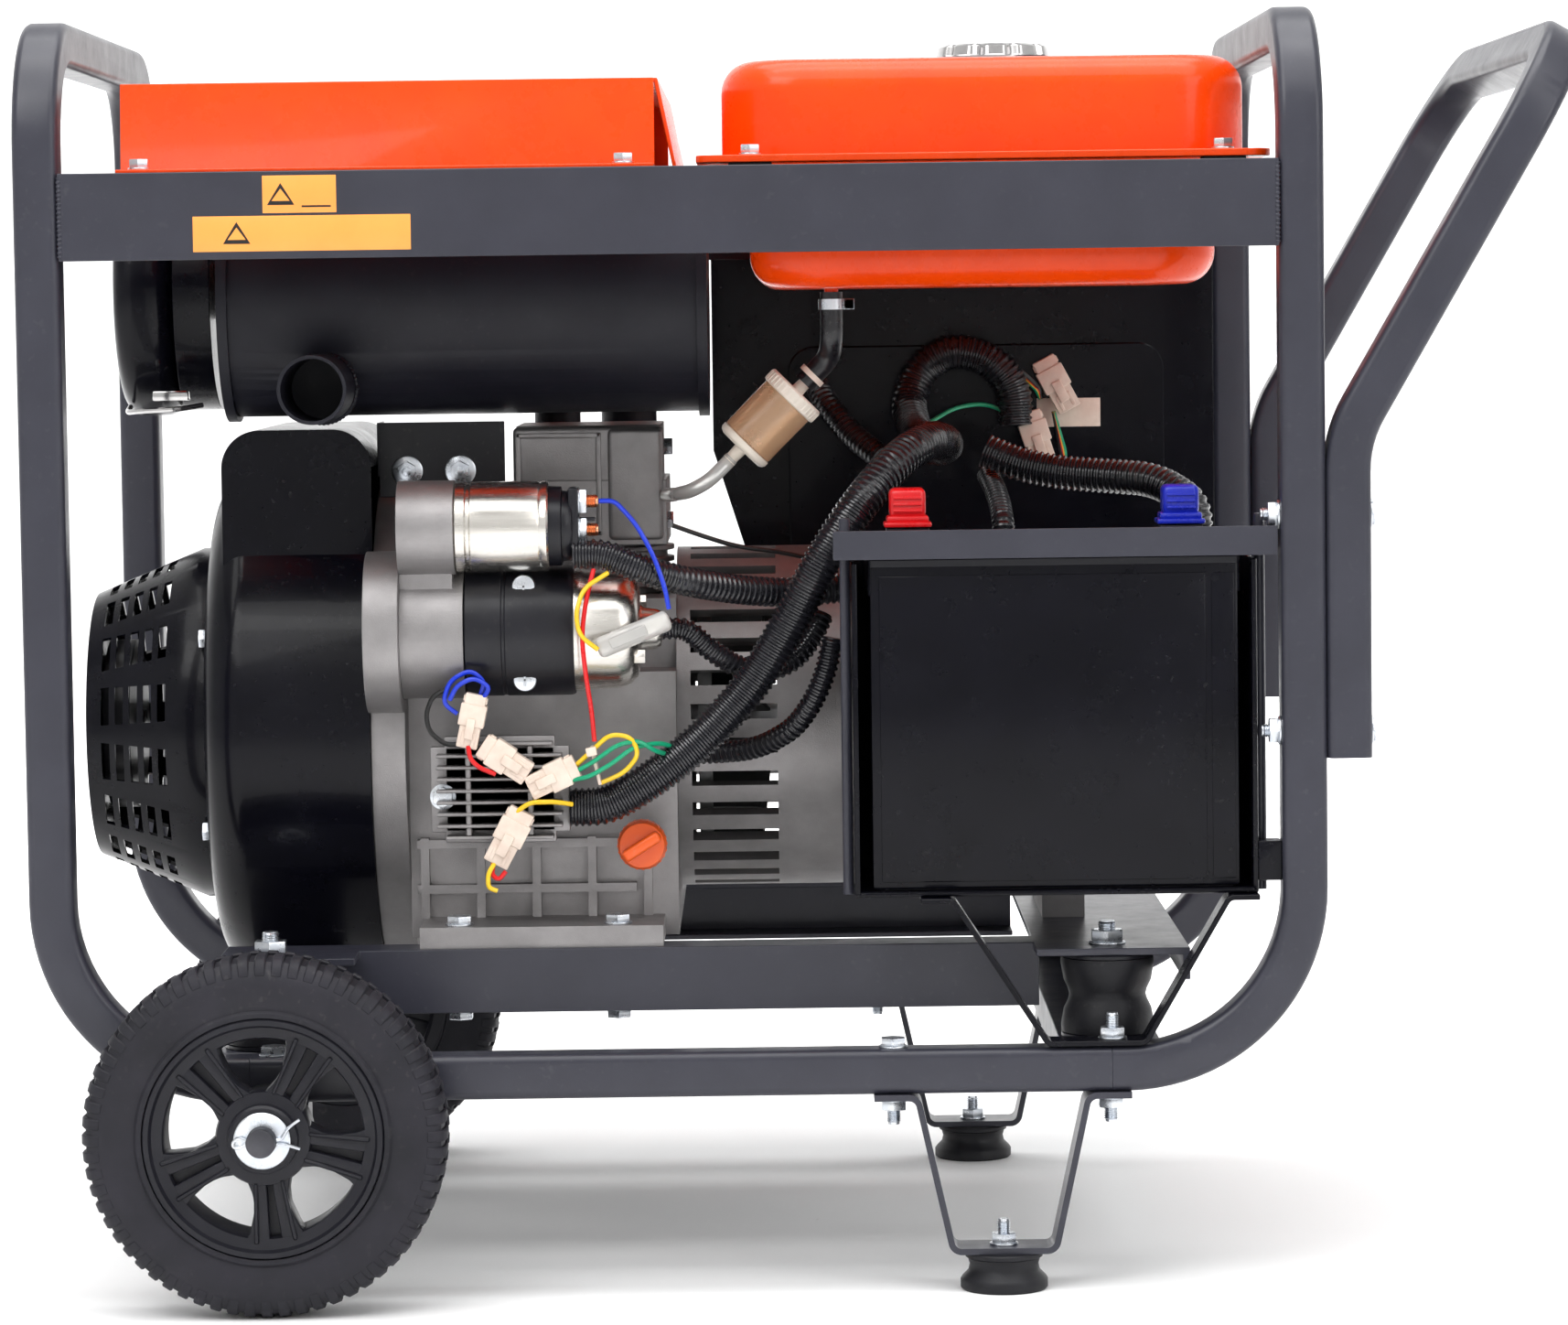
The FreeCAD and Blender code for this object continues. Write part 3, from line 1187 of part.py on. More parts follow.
strut_y = size("-frame_width / 2 + strut_width / 2")
under_tray = size("battery_bottom - tray_wall - strut / 2")
on_rail = size("rail_bottom + tube + strut_lift + strut / 2")
strut_route = points((size("strut_left") - 12, strut_y, under_tray),
                     (size("strut_left") + 6, strut_y, under_tray),
                     (size("strut_flat_left"), strut_y, on_rail),
                     (size("strut_flat_right"), strut_y, on_rail),
                     (size("strut_right") - 12, strut_y, under_tray),
                     (size("strut_right") + 5, strut_y, under_tray))
node("battery_tray", battery_tray(), shaped(strip_bar(strut_route, [5, 5, 5, 5], size("strut"),
                                              size("strut_width"))))


def battery_clamp():
    """Angle bar across the battery, pulled down by two threaded rods from the tray."""
    front = "battery_front - 12"
    leg = box(("clamp_left", "clamp_right"), (front, f"{front} + plate"),
              ("clamp_bottom", "clamp_bottom + clamp_height"))
    shelf = box(("clamp_left", "clamp_right"), (front, "battery_front + 20"),
                ("clamp_bottom", "clamp_bottom + plate"))
    rods = []
    for x in ("tray_left - 3.4", "tray_right + 3.4"):
        rods.append(rod("z", ("battery_bottom - tray_wall", "clamp_bottom + 22"),
                        (x, "battery_front + 14"), "3"))
        rods.append(hexagon("z", ("clamp_bottom + plate", "clamp_bottom + plate + 6"),
                            (x, "battery_front + 14"), "10"))
    return fused(leg, shelf, *rods)


node("battery_clamp", battery_clamp())


def terminal_boot(x):
    """Hinged cover over a battery terminal: a hollow box that is open below."""
    low = "battery_top + post_height + side_gap"
    half = "boot_width / 2"
    outer = box((f"{x} - {half}", f"{x} + {half}"), (f"post_y - {half}", f"post_y + {half}"),
                (low, f"{low} + boot_height"))
    inner = box((f"{x} - {half} + boot_wall", f"{x} + {half} - boot_wall"),
                (f"post_y - {half} + boot_wall", f"post_y + {half} - boot_wall"),
                (low, f"{low} + boot_height - boot_wall"))
    return cut(softened(outer, 3, along("z")), inner)


node("boot_red", terminal_boot("red_x"))
node("boot_blue", terminal_boot("blue_x"))

# ------------------------------------------------------------------ wiring harness

CONDUITS = [
    (11, [(208, 156, 472), (207, 157, 496), (192, 158, 514), (168, 159, 520), (148, 160, 508),
          (140, 154, 486), (144, 126, 468), (152, 84, 461), (157, 36, 462), (158, -14, 465),
          (155, -60, 468), (146, -104, 471), (128, -140, 462), (105, -160, 438),
          (82, -167, 404), (63, -161, 368), (42, -160, 334), (14, -163, 304),
          (-18, -168, 280), (-42, -169, 267), (-61.6, -169, 267)]),
    (8.5, [(-57.6, -182, 411), (-40, -182, 411), (-20, -184, 402), (6, -174, 394),
           (34, -152, 388), (62, -138, 385), (95.2, -132, 387)]),
    (6.5, [(-8.6, -150, 366.5), (5, -150, 366.5), (19, -146, 353), (34, -141, 343),
           (52, -137, 340), (68, -133, 347), (78, -128, 361), (83, -124, 372)]),
    (6.5, [(-1.6, -113, 292), (16, -113, 292), (44, -128, 295), (66, -142, 308),
           (78, -149, 326), (85, -151, 344), (88, -151, 360)]),
    (10, [(179, -84, 463), (198, -88, 455), (222, -92, 450), (250, -98, 448),
          (276, -109, 446), (297, -124, 432), (297, -124, 408)]),
    (6.5, [(181, -62, 448), (184, -84, 441), (186, -104, 433), (187, -124, 422),
           (187, -124, 408)]),
    (8, [(84, 180.7, 497), (84, 165, 497), (90, 152, 486), (104, 142, 468),
         (122, 126, 454)]),
]
node("conduits", *[shaped(hose(points(*route), radius)) for radius, route in CONDUITS])

WIRES = [
    [(-42.8, -178, 440.5), (-34, -178, 440.5), (-22, -186, 428), (-12, -192, 410),
     (-6, -194, 392), (-4, -193, 380)],
    [(-46, -186, 402.3), (-50, -194, 387), (-53, -198, 366), (-51, -197, 344),
     (-48, -192, 322), (-47, -188, 306)],
    [(-38, -186, 400.4), (-40, -194, 388), (-41, -199, 374), (-38, -199, 361)],
    [(-111.1, -184, 331.5), (-108, -184, 340), (-116, -184, 347), (-128, -184, 341),
     (-132, -183, 328)],
    [(-58.7, -184, 291.2), (-49, -184, 295.9), (-34, -185, 298), (-25, -185, 290),
     (-22, -183, 279)],
]
wires = [shaped(hose(points(*route), 1.5)) for route in WIRES]

CONNECTORS = [((-116, -184, 318), 11, 28, 20), ((-96, -184, 294), 12, 26, -35),
              ((-70.7, -184, 285.5), 12, 26, 65), ((-98, -184, 252), 13, 30, -24),
              ((-24, -191, 366), 12, 44, 68), ((220.5, 156, 458), 14, 30, 24),
              ((226, 172, 497), 14, 30, 34)]


def connector(middle, wide, long, lean):
    """Moulded plug and socket joined end to end, leaning in the plane of the harness."""
    x, y, z = middle
    body = Part.makeBox(wide, 9, long, Vector(x - wide / 2, y - 4.5, z - long / 2))
    collar = Part.makeBox(wide + 3, 11, long * 0.4, Vector(x - wide / 2 - 1.5, y - 5.5,
                                                          z - long * 0.1))
    solid = body.fuse(collar).removeSplitter()
    solid.rotate(Vector(x, y, z), AXES["y"], lean)
    return shaped(solid)


node("harness_leads", *wires, *[connector(*values) for values in CONNECTORS])

# ------------------------------------------------------------------ fasteners


def bolt(axis, seat, out, centre, flats, height, thread=0):
    """Hexagon head on a seat; thread is the length of screw that stands out past it."""
    step = "+" if out > 0 else "-"
    head_ends = [seat, f"{seat} {step} {height}"]
    screw_ends = [seat, f"{seat} {step} {height} {step} {thread}"]
    if out < 0:
        head_ends.reverse()
        screw_ends.reverse()
    parts = [hexagon(axis, head_ends, centre, flats)]
    if thread:
        parts.append(rod(axis, screw_ends, centre, f"{flats} * 0.3"))
    return fused(*parts)


RAIL_MIDDLE = {"-": "-frame_width / 2 + tube / 2", "": "frame_width / 2 - tube / 2"}
FLANGE_BOLTS = ("foot_x - foot_span / 2 - foot_flange / 2 - 1",
                "foot_x + foot_span / 2 + foot_flange / 2 + 1")
chassis = []
for sign, rail_y in RAIL_MIDDLE.items():
    for x in FLANGE_BOLTS:
        if sign == "" or "-" in x:
            chassis.append(bolt("z", "rail_bottom + tube", 1, (x, rail_y), "bolt_flats",
                                "thin_head"))
        chassis.append(bolt("z", "rail_bottom - foot_strip", -1, (x, rail_y), "bolt_flats",
                            "nut", "screw_stand"))
    chassis.append(bolt("z", "foot_height + foot_strip", 1, ("foot_x", rail_y), "bolt_flats",
                        "nut", "screw_stand"))
    chassis.append(bolt("z", "rail_bottom + tube", 1, ("wheel_x", rail_y), "bolt_flats",
                        "thin_head"))
    for x in ("lug_x", "bed_cross_x"):
        mount = (x, f"{sign}mount_reach")
        chassis.append(fused(
            hexagon("z", ("bed_top", "bed_top + nut_height"), mount, "nut_flats"),
            rod("z", ("bed_top", "bed_top + nut_height + stud_stand"), mount,
                "stud_radius")))
    for x in ("case_left + 30", "case_right - 34"):
        foot_bolt = (x, f"{sign}foot_bolt_y")
        chassis.append(bolt("z", "bed_top + foot_plate", 1, foot_bolt, "bolt_flats",
                            "thin_head"))
        chassis.append(bolt("z", "bed_bottom", -1, foot_bolt, "bolt_flats", "thin_head"))
    for z in ("handle_bottom + 15", "handle_bottom + 135"):
        chassis.append(bolt("x", "frame_length / 2 + tube", 1, (rail_y, z), "bolt_flats",
                            "thin_head"))
        if sign == "-" or z.endswith("15"):
            chassis.append(bolt("x", "frame_length / 2 - tube", -1, (rail_y, z),
                                "bolt_flats", "nut", 4))
chassis.append(bolt("z", "rail_bottom + tube + strut_lift + strut", 1,
                    ("bed_cross_x", "-frame_width / 2 + strut_width / 2"), "bolt_flats",
                    "nut", "screw_stand"))

body_bolts = []
for x in ("shield_left + 12", "shield_right - 17"):
    for y in ("-shield_half - 16", "shield_half + 16"):
        body_bolts.append(bolt("z", "tank_seam - pad + sheet", 1, (x, y), "small_flats", 6))
for x in ("tank_left + 16", "tank_right - 16"):
    for y in ("-seam_half + 12", "seam_half - 12"):
        body_bolts.append(bolt("z", "tank_seam + seam_height", 1, (x, y), "small_flats", 6))
for i in range(6):
    turn = math.radians(60 * i + 30)
    across, up = math.cos(turn), math.sin(turn)
    y = f"{'-' if across < 0 else ''}cover_bolt_ring * {abs(across):.6f}"
    z = f"crank_height {'-' if up < 0 else '+'} cover_bolt_ring * {abs(up):.6f}"
    body_bolts.append(bolt("x", "shroud_left", -1, (y, z), "small_flats", 5))
node("bolts", *chassis, *body_bolts)

# ------------------------------------------------------------------ checks and files

doc.recompute()
faults = [f"{item.Name}: {item.State}" for item in doc.Objects
          if "Invalid" in item.State or "Error" in item.State]
for name, item in nodes.items():
    if item.Shape.isNull() or not item.Shape.isValid():
        faults.append(f"{name}: no valid shape")
if faults:
    raise RuntimeError("; ".join(faults))

os.makedirs("parts", exist_ok=True)
for name, item in nodes.items():
    item.Shape.exportStep(f"parts/{name}.step")
print(f"{len(nodes)} nodes, {sum(len(i.Shape.Solids) for i in nodes.values())} solids")
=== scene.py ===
import json
import logging
import math
from dataclasses import dataclass, field
from enum import Enum

import bmesh
import bpy
from mathutils import Matrix, Vector


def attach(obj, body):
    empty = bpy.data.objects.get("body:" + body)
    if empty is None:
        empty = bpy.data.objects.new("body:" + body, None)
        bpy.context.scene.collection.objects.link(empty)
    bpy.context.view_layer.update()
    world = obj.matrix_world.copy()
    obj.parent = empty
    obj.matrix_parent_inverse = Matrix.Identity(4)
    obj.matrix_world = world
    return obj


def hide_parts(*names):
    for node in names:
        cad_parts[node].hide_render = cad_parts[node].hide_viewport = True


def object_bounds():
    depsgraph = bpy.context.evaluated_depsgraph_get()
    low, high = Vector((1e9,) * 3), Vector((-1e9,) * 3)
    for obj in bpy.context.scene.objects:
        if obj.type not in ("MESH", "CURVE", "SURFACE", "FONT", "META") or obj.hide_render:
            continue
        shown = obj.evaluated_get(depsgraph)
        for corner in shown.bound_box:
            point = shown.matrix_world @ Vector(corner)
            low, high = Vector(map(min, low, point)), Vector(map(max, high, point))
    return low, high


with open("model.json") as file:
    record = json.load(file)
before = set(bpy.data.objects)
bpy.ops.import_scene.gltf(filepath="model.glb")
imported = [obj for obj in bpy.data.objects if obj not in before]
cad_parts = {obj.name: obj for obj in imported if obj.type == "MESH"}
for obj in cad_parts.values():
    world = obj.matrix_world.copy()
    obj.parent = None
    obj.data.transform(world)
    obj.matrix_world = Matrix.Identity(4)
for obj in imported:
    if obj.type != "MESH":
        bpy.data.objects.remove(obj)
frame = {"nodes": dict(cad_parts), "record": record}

logging.basicConfig(level=logging.INFO, format="%(message)s")
LOG = logging.getLogger("welder")

CAD_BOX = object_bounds()
MM = 0.001
FULL_TURN = 2 * math.pi
ARC_STEPS = 8
"""Steps in each bend of a route."""
MERGE = 1e-3
"""Corners closer than this, in millimetres, become one."""
FRAME_SHIFT = CAD_BOX[0].x / MM + 360
"""Row X in millimetres of the middle of the tube frame, whose left end is the box's."""


def at(x: float, y: float, z: float) -> Vector:
    """Point in metres from millimetres about the middle of the tube frame."""
    return Vector((x + FRAME_SHIFT, y, z)) * MM


class Axis(Enum):
    """Direction that a round form is turned about."""

    X = Vector((1, 0, 0))
    Y = Vector((0, 1, 0))
    Z = Vector((0, 0, 1))

    def turn(self) -> Matrix:
        """Rotation that lays a form made along Z along this axis."""
        return Vector((0, 0, 1)).rotation_difference(self.value).to_matrix().to_4x4()


# ---------------------------------------------------------------- shader groups


class ShaderGroup:
    """One shared shader effect, built once and placed in many materials."""

    def __init__(self, name: str, inputs: dict[str, tuple[str, object]],
                 outputs: dict[str, str]) -> None:
        """Make an empty group with named sockets.

        Args:
            name: name of the node group.
            inputs: socket name to its type word and default value.
            outputs: socket name to its type word.
        """
        self.tree = bpy.data.node_groups.new(name, "ShaderNodeTree")
        for label, (kind, value) in inputs.items():
            socket = self.tree.interface.new_socket(
                name=label, in_out="INPUT", socket_type=f"NodeSocket{kind}")
            if value is not None:
                socket.default_value = value
        for label, kind in outputs.items():
            self.tree.interface.new_socket(
                name=label, in_out="OUTPUT", socket_type=f"NodeSocket{kind}")
        self.source = self.tree.nodes.new("NodeGroupInput").outputs
        self.result = self.tree.nodes.new("NodeGroupOutput").inputs

    def node(self, kind: str, **values: object) -> bpy.types.Node:
        """Add a node and set its properties.

        Args:
            kind: node type without its ShaderNode prefix.
            values: property names to values.

        Returns:
            The node.
        """
        made = self.tree.nodes.new(f"ShaderNode{kind}")
        for key, value in values.items():
            setattr(made, key, value)
        return made

    def link(self, start: bpy.types.NodeSocket, end: bpy.types.NodeSocket) -> None:
        """Join two sockets."""
        self.tree.links.new(start, end)

    def noise(self, scale: object, detail: float = 4.0,
              rough: float = 0.55) -> bpy.types.NodeSocket:
        """Add noise that follows the group's Vector input.

        Args:
            scale: its scale, a number or a socket.
            detail: octaves of finer noise.
            rough: how strong the finer octaves are.

        Returns:
            The socket with the noise, from 0 to 1.
        """
        made = self.node("TexNoise")
        made.inputs["Detail"].default_value = detail
        made.inputs["Roughness"].default_value = rough
        self.link(self.source["Vector"], made.inputs["Vector"])
        if isinstance(scale, bpy.types.NodeSocket):
            self.link(scale, made.inputs["Scale"])
        else:
            made.inputs["Scale"].default_value = scale
        return made.outputs["Fac"]

    def spread(self, value: bpy.types.NodeSocket, low: float, high: float,
               to: tuple[object, object] = (0.0, 1.0)) -> bpy.types.NodeSocket:
        """Map a value from one range to another.

        Args:
            value: socket with the value.
            low: value that becomes the first end.
            high: value that becomes the second end.
            to: both ends, as numbers or sockets.

        Returns:
            The socket with the result.
        """
        made = self.node("MapRange")
        made.inputs["From Min"].default_value = low
        made.inputs["From Max"].default_value = high
        self.link(value, made.inputs["Value"])
        for label, end in zip(("To Min", "To Max"), to):
            if isinstance(end, bpy.types.NodeSocket):
                self.link(end, made.inputs[label])
            else:
                made.inputs[label].default_value = end
        return made.outputs["Result"]

    def blend(self, share: bpy.types.NodeSocket, first: str, second: str) -> None:
        """Send a mix of two colour inputs to the group's Color output.

        Args:
            share: socket with the share of the second colour.
            first: name of the first colour input.
            second: name of the second colour input.
        """
        mix = self.node("Mix", data_type="RGBA")
        self.link(share, mix.inputs["Factor"])
        self.link(self.source[first], mix.inputs["A"])
        self.link(self.source[second], mix.inputs["B"])
        for socket in mix.outputs:
            if socket.type == "RGBA":
                self.link(socket, self.result["Color"])


def tone_group() -> ShaderGroup:
    """Make the colour group, which drifts between two tones in soft clouds.

    Returns:
        The group.
    """
    group = ShaderGroup("tone_clouds", {
        "Vector": ("Vector", None), "Tone A": ("Color", (1, 1, 1, 1)),
        "Tone B": ("Color", (1, 1, 1, 1)), "Scale": ("Float", 20.0)}, {"Color": "Color"})
    cloud = group.spread(group.noise(group.source["Scale"], 6.0, 0.6), 0.35, 0.68)
    group.blend(cloud, "Tone A", "Tone B")
    return group


def sheen_group() -> ShaderGroup:
    """Make the roughness group, which varies in patches.

    Returns:
        The group.
    """
    group = ShaderGroup("rough_patches", {
        "Vector": ("Vector", None), "Scale": ("Float", 12.0),
        "Low": ("Float", 0.3), "High": ("Float", 0.5)}, {"Roughness": "Float"})
    patch = group.noise(group.source["Scale"], 8.0, 0.7)
    wanted = (group.source["Low"], group.source["High"])
    group.link(group.spread(patch, 0.3, 0.7, wanted), group.result["Roughness"])
    return group


def relief_group(name: str, scale: float, distance: float, detail: float,
                 rough: float) -> ShaderGroup:
    """Make a relief group, which turns noise into a normal.

    Args:
        name: name of the group.
        scale: scale of the noise where a material gives none.
        distance: height of the relief in metres.
        detail: octaves of finer noise.
        rough: how strong the finer octaves are.

    Returns:
        The group.
    """
    group = ShaderGroup(name, {
        "Vector": ("Vector", None), "Scale": ("Float", scale),
        "Depth": ("Float", 0.1)}, {"Normal": "Vector"})
    bump = group.node("Bump")
    bump.inputs["Distance"].default_value = distance
    group.link(group.noise(group.source["Scale"], detail, rough), bump.inputs["Height"])
    group.link(group.source["Depth"], bump.inputs["Strength"])
    group.link(bump.outputs["Normal"], group.result["Normal"])
    return group


def speck_group() -> ShaderGroup:
    """Make the group that lays small specks of dust or wear over a colour.

    Returns:
        The group.
    """
    group = ShaderGroup("dust_specks", {
        "Vector": ("Vector", None), "Color": ("Color", (1, 1, 1, 1)),
        "Dust": ("Color", (0.4, 0.38, 0.35, 1)), "Amount": ("Float", 0.1)},
        {"Color": "Color"})
    fleck = group.spread(group.noise(260.0, 2.0, 0.4), 0.63, 0.76)
    field_mask = group.spread(group.noise(7.0, 3.0, 0.5), 0.4, 0.7)
    masked = group.node("Math", operation="MULTIPLY")
    group.link(fleck, masked.inputs[0])
    group.link(field_mask, masked.inputs[1])
    share = group.node("Math", operation="MULTIPLY")
    group.link(masked.outputs[0], share.inputs[0])
    group.link(group.source["Amount"], share.inputs[1])
    group.blend(share.outputs[0], "Color", "Dust")
    return group


# ---------------------------------------------------------------- finishes


@dataclass(frozen=True)
class Finish:
    """A finish: two tones, how it shines, and its relief."""

    slot: str
    tone: tuple[float, float, float]
    second: tuple[float, float, float]
    rough: tuple[float, float] = (0.35, 0.5)
    metallic: float = 0.0
    tone_scale: float = 25.0
    grain: float = 500.0
    depth: float = 0.08
    dust: float = 0.15
    coat: float = 0.0
    coat_rough: float = 0.08
    clear: float = 0.0
    specular: float = 0.5
    stretch: tuple[float, float, float] = (1.0, 1.0, 1.0)
    brushed: bool = False
    label: str = ""


class Finishes:
    """Builds each finish's material once, from the shared shader groups."""

    def __init__(self) -> None:
        """Build the shared groups."""
        self.groups = {"tone": tone_group(), "sheen": sheen_group(),
                       "grain": relief_group("grain_relief", 400.0, 0.0004, 3.0, 0.5),
                       "specks": speck_group(),
                       "brush": relief_group("brush_lines", 60.0, 0.0002, 5.0, 0.7)}
        self.made: dict[str, bpy.types.Material] = {}

    def place(self, tree: bpy.types.NodeTree, name: str, vector: bpy.types.NodeSocket,
              **values: object) -> bpy.types.Node:
        """Put a shared group in a material.

        Args:
            tree: the material's node tree.
            name: short name of the group.
            vector: coordinates for its Vector socket.
            values: socket names, with underscores for spaces, to values or sockets.

        Returns:
            The group node.
        """
        node = tree.nodes.new("ShaderNodeGroup")
        node.node_tree = self.groups[name].tree
        tree.links.new(vector, node.inputs["Vector"])
        for key, value in values.items():
            socket = node.inputs[key.replace("_", " ")]
            if isinstance(value, bpy.types.NodeSocket):
                tree.links.new(value, socket)
            else:
                socket.default_value = value
        return node

    def material(self, finish: Finish) -> bpy.types.Material:
        """Make a finish's material, or find it if it was made before.

        Args:
            finish: the finish.

        Returns:
            Its material.
        """
        name = finish.label or finish.slot
        if name in self.made:
            return self.made[name]
        material = bpy.data.materials.new(name)
        material.use_nodes = True
        tree = material.node_tree
        shader = tree.nodes["Principled BSDF"]
        coordinates = tree.nodes.new("ShaderNodeTexCoord")
        mapping = tree.nodes.new("ShaderNodeMapping")
        mapping.inputs["Scale"].default_value = finish.stretch
        tree.links.new(coordinates.outputs["Object"], mapping.inputs["Vector"])
        vector = mapping.outputs["Vector"]
        tone = self.place(tree, "tone", vector, Tone_A=(*finish.tone, 1),
                          Tone_B=(*finish.second, 1), Scale=finish.tone_scale)
        specks = self.place(tree, "specks", vector, Color=tone.outputs["Color"],
                            Amount=finish.dust)
        sheen = self.place(tree, "sheen", vector, Scale=finish.tone_scale * 1.7,
                           Low=finish.rough[0], High=finish.rough[1])
        relief = self.place(tree, "brush" if finish.brushed else "grain", vector,
                            Scale=finish.grain, Depth=finish.depth)
        tree.links.new(specks.outputs["Color"], shader.inputs["Base Color"])
        tree.links.new(sheen.outputs["Roughness"], shader.inputs["Roughness"])
        tree.links.new(relief.outputs["Normal"], shader.inputs["Normal"])
        shader.inputs["Metallic"].default_value = finish.metallic
        shader.inputs["Coat Weight"].default_value = finish.coat
        shader.inputs["Coat Roughness"].default_value = finish.coat_rough
        shader.inputs["Transmission Weight"].default_value = finish.clear
        shader.inputs["Specular IOR Level"].default_value = finish.specular
        self.made[name] = material
        return material


FRAME_PAINT = Finish("frame_paint", (0.026, 0.0265, 0.038), (0.032, 0.0325, 0.046),
                     rough=(0.3, 0.42), grain=900, depth=0.10, dust=0.04, coat=0.1,
                     coat_rough=0.25, specular=0.4)
ORANGE = Finish("orange_paint", (0.82, 0.052, 0.0005), (0.88, 0.062, 0.001), rough=(0.24, 0.32),
                grain=260, depth=0.03, dust=0.02, coat=0.18, coat_rough=0.06, specular=0.2)
BLACK_GLOSS = Finish("black_gloss", (0.001, 0.001, 0.003), (0.003, 0.003, 0.006),
                     rough=(0.2, 0.3), grain=320, depth=0.04, dust=0.02, coat=0.08,
                     coat_rough=0.06, specular=0.14)
MUFFLER_BLACK = Finish("muffler_black", (0.006, 0.006, 0.011), (0.009, 0.009, 0.015),
                       rough=(0.42, 0.56), grain=1400, depth=0.14, dust=0.02, specular=0.3)
CAST = Finish("cast_aluminium", (0.25, 0.24, 0.24), (0.36, 0.345, 0.345), rough=(0.4, 0.56),
              metallic=0.85, tone_scale=18, grain=1500, depth=0.35, dust=0.06)
STEEL = Finish("machined_steel", (0.4, 0.4, 0.42), (0.55, 0.55, 0.56), rough=(0.28, 0.4),
               metallic=1.0, grain=900, depth=0.08)
SOLENOID = Finish("solenoid_steel", (0.68, 0.65, 0.6), (0.8, 0.77, 0.72), rough=(0.2, 0.3),
                  metallic=1.0, grain=700, depth=0.06, stretch=(1, 14, 14), brushed=True)
ZINC = Finish("zinc_plate", (0.62, 0.66, 0.72), (0.74, 0.76, 0.78), rough=(0.22, 0.36),
              metallic=1.0, grain=700, depth=0.08, tone_scale=90)
CHROME = Finish("cap_chrome", (0.5, 0.49, 0.49), (0.62, 0.61, 0.6), rough=(0.1, 0.18),
                metallic=1.0, depth=0.02)
AXLE = Finish("axle_steel", (0.07, 0.07, 0.08), (0.13, 0.13, 0.14), rough=(0.35, 0.5),
              metallic=1.0, depth=0.12)
IRON = Finish("cast_iron_grey", (0.16, 0.16, 0.16), (0.22, 0.22, 0.22), rough=(0.5, 0.65),
              metallic=0.7, grain=900, depth=0.3)
TYRE = Finish("wheel_rubber", (0.011, 0.011, 0.015), (0.019, 0.018, 0.025),
              rough=(0.5, 0.66), grain=900, depth=0.2, dust=0.06, specular=0.28)
RUBBER = Finish("mount_rubber", (0.006, 0.006, 0.008), (0.011, 0.011, 0.014),
                rough=(0.4, 0.56), grain=800, depth=0.15, dust=0.06, specular=0.3)
HOSE = Finish("hose_rubber", (0.006, 0.006, 0.008), (0.01, 0.01, 0.013), rough=(0.24, 0.34),
              grain=600, depth=0.04)
RIM = Finish("rim_plastic", (0.008, 0.008, 0.012), (0.013, 0.013, 0.018),
             rough=(0.34, 0.46), grain=1600, depth=0.12, dust=0.03, specular=0.3)
PLASTIC = Finish("black_plastic", (0.006, 0.006, 0.009), (0.009, 0.009, 0.013),
                 rough=(0.28, 0.4), grain=1200, depth=0.07, dust=0.05, specular=0.35)
CONDUIT = Finish("conduit_plastic", (0.008, 0.008, 0.011), (0.013, 0.013, 0.017),
                 rough=(0.22, 0.32), grain=900, depth=0.04, dust=0.05, coat=0.3,
                 coat_rough=0.15)
NYLON = Finish("nylon_white", (0.7, 0.56, 0.47), (0.8, 0.68, 0.58), rough=(0.26, 0.38),
               grain=900, depth=0.05, dust=0.05, tone_scale=90)
ORANGE_PLASTIC = Finish("orange_plastic", (0.82, 0.1, 0.01), (0.9, 0.13, 0.015),
                        rough=(0.28, 0.4), grain=900, depth=0.06)
RED_PLASTIC = Finish("red_plastic", (0.68, 0.004, 0.008), (0.78, 0.01, 0.014),
                     rough=(0.22, 0.34), grain=900, depth=0.05)
BLUE_PLASTIC = Finish("blue_plastic", (0.008, 0.02, 0.46), (0.012, 0.03, 0.56),
                      rough=(0.22, 0.34), grain=900, depth=0.05)
FILTER_BOWL = Finish("filter_plastic", (0.66, 0.39, 0.22), (0.76, 0.49, 0.3),
                     rough=(0.2, 0.3), clear=0.45, depth=0.03)

CLEAR = Finish("nylon_white", (0.8, 0.79, 0.76), (0.86, 0.85, 0.83), rough=(0.14, 0.24),
               clear=0.6, depth=0.03, label="clear_plastic")
BLUE_WIRE = Finish("blue_plastic", (0.004, 0.03, 0.5), (0.006, 0.04, 0.62),
                   rough=(0.25, 0.35), label="blue_wire")
RED_WIRE = Finish("red_plastic", (0.6, 0.004, 0.006), (0.72, 0.008, 0.01),
                  rough=(0.25, 0.35), label="red_wire")
YELLOW_WIRE = Finish("nylon_white", (0.8, 0.5, 0.01), (0.9, 0.6, 0.02), rough=(0.25, 0.35),
                     label="yellow_wire")
GREEN_WIRE = Finish("nylon_white", (0.0, 0.28, 0.13), (0.01, 0.4, 0.2), rough=(0.25, 0.35),
                    label="green_wire")
BLACK_WIRE = Finish("conduit_plastic", (0.008, 0.008, 0.008), (0.014, 0.014, 0.014),
                    rough=(0.25, 0.35), label="black_wire")

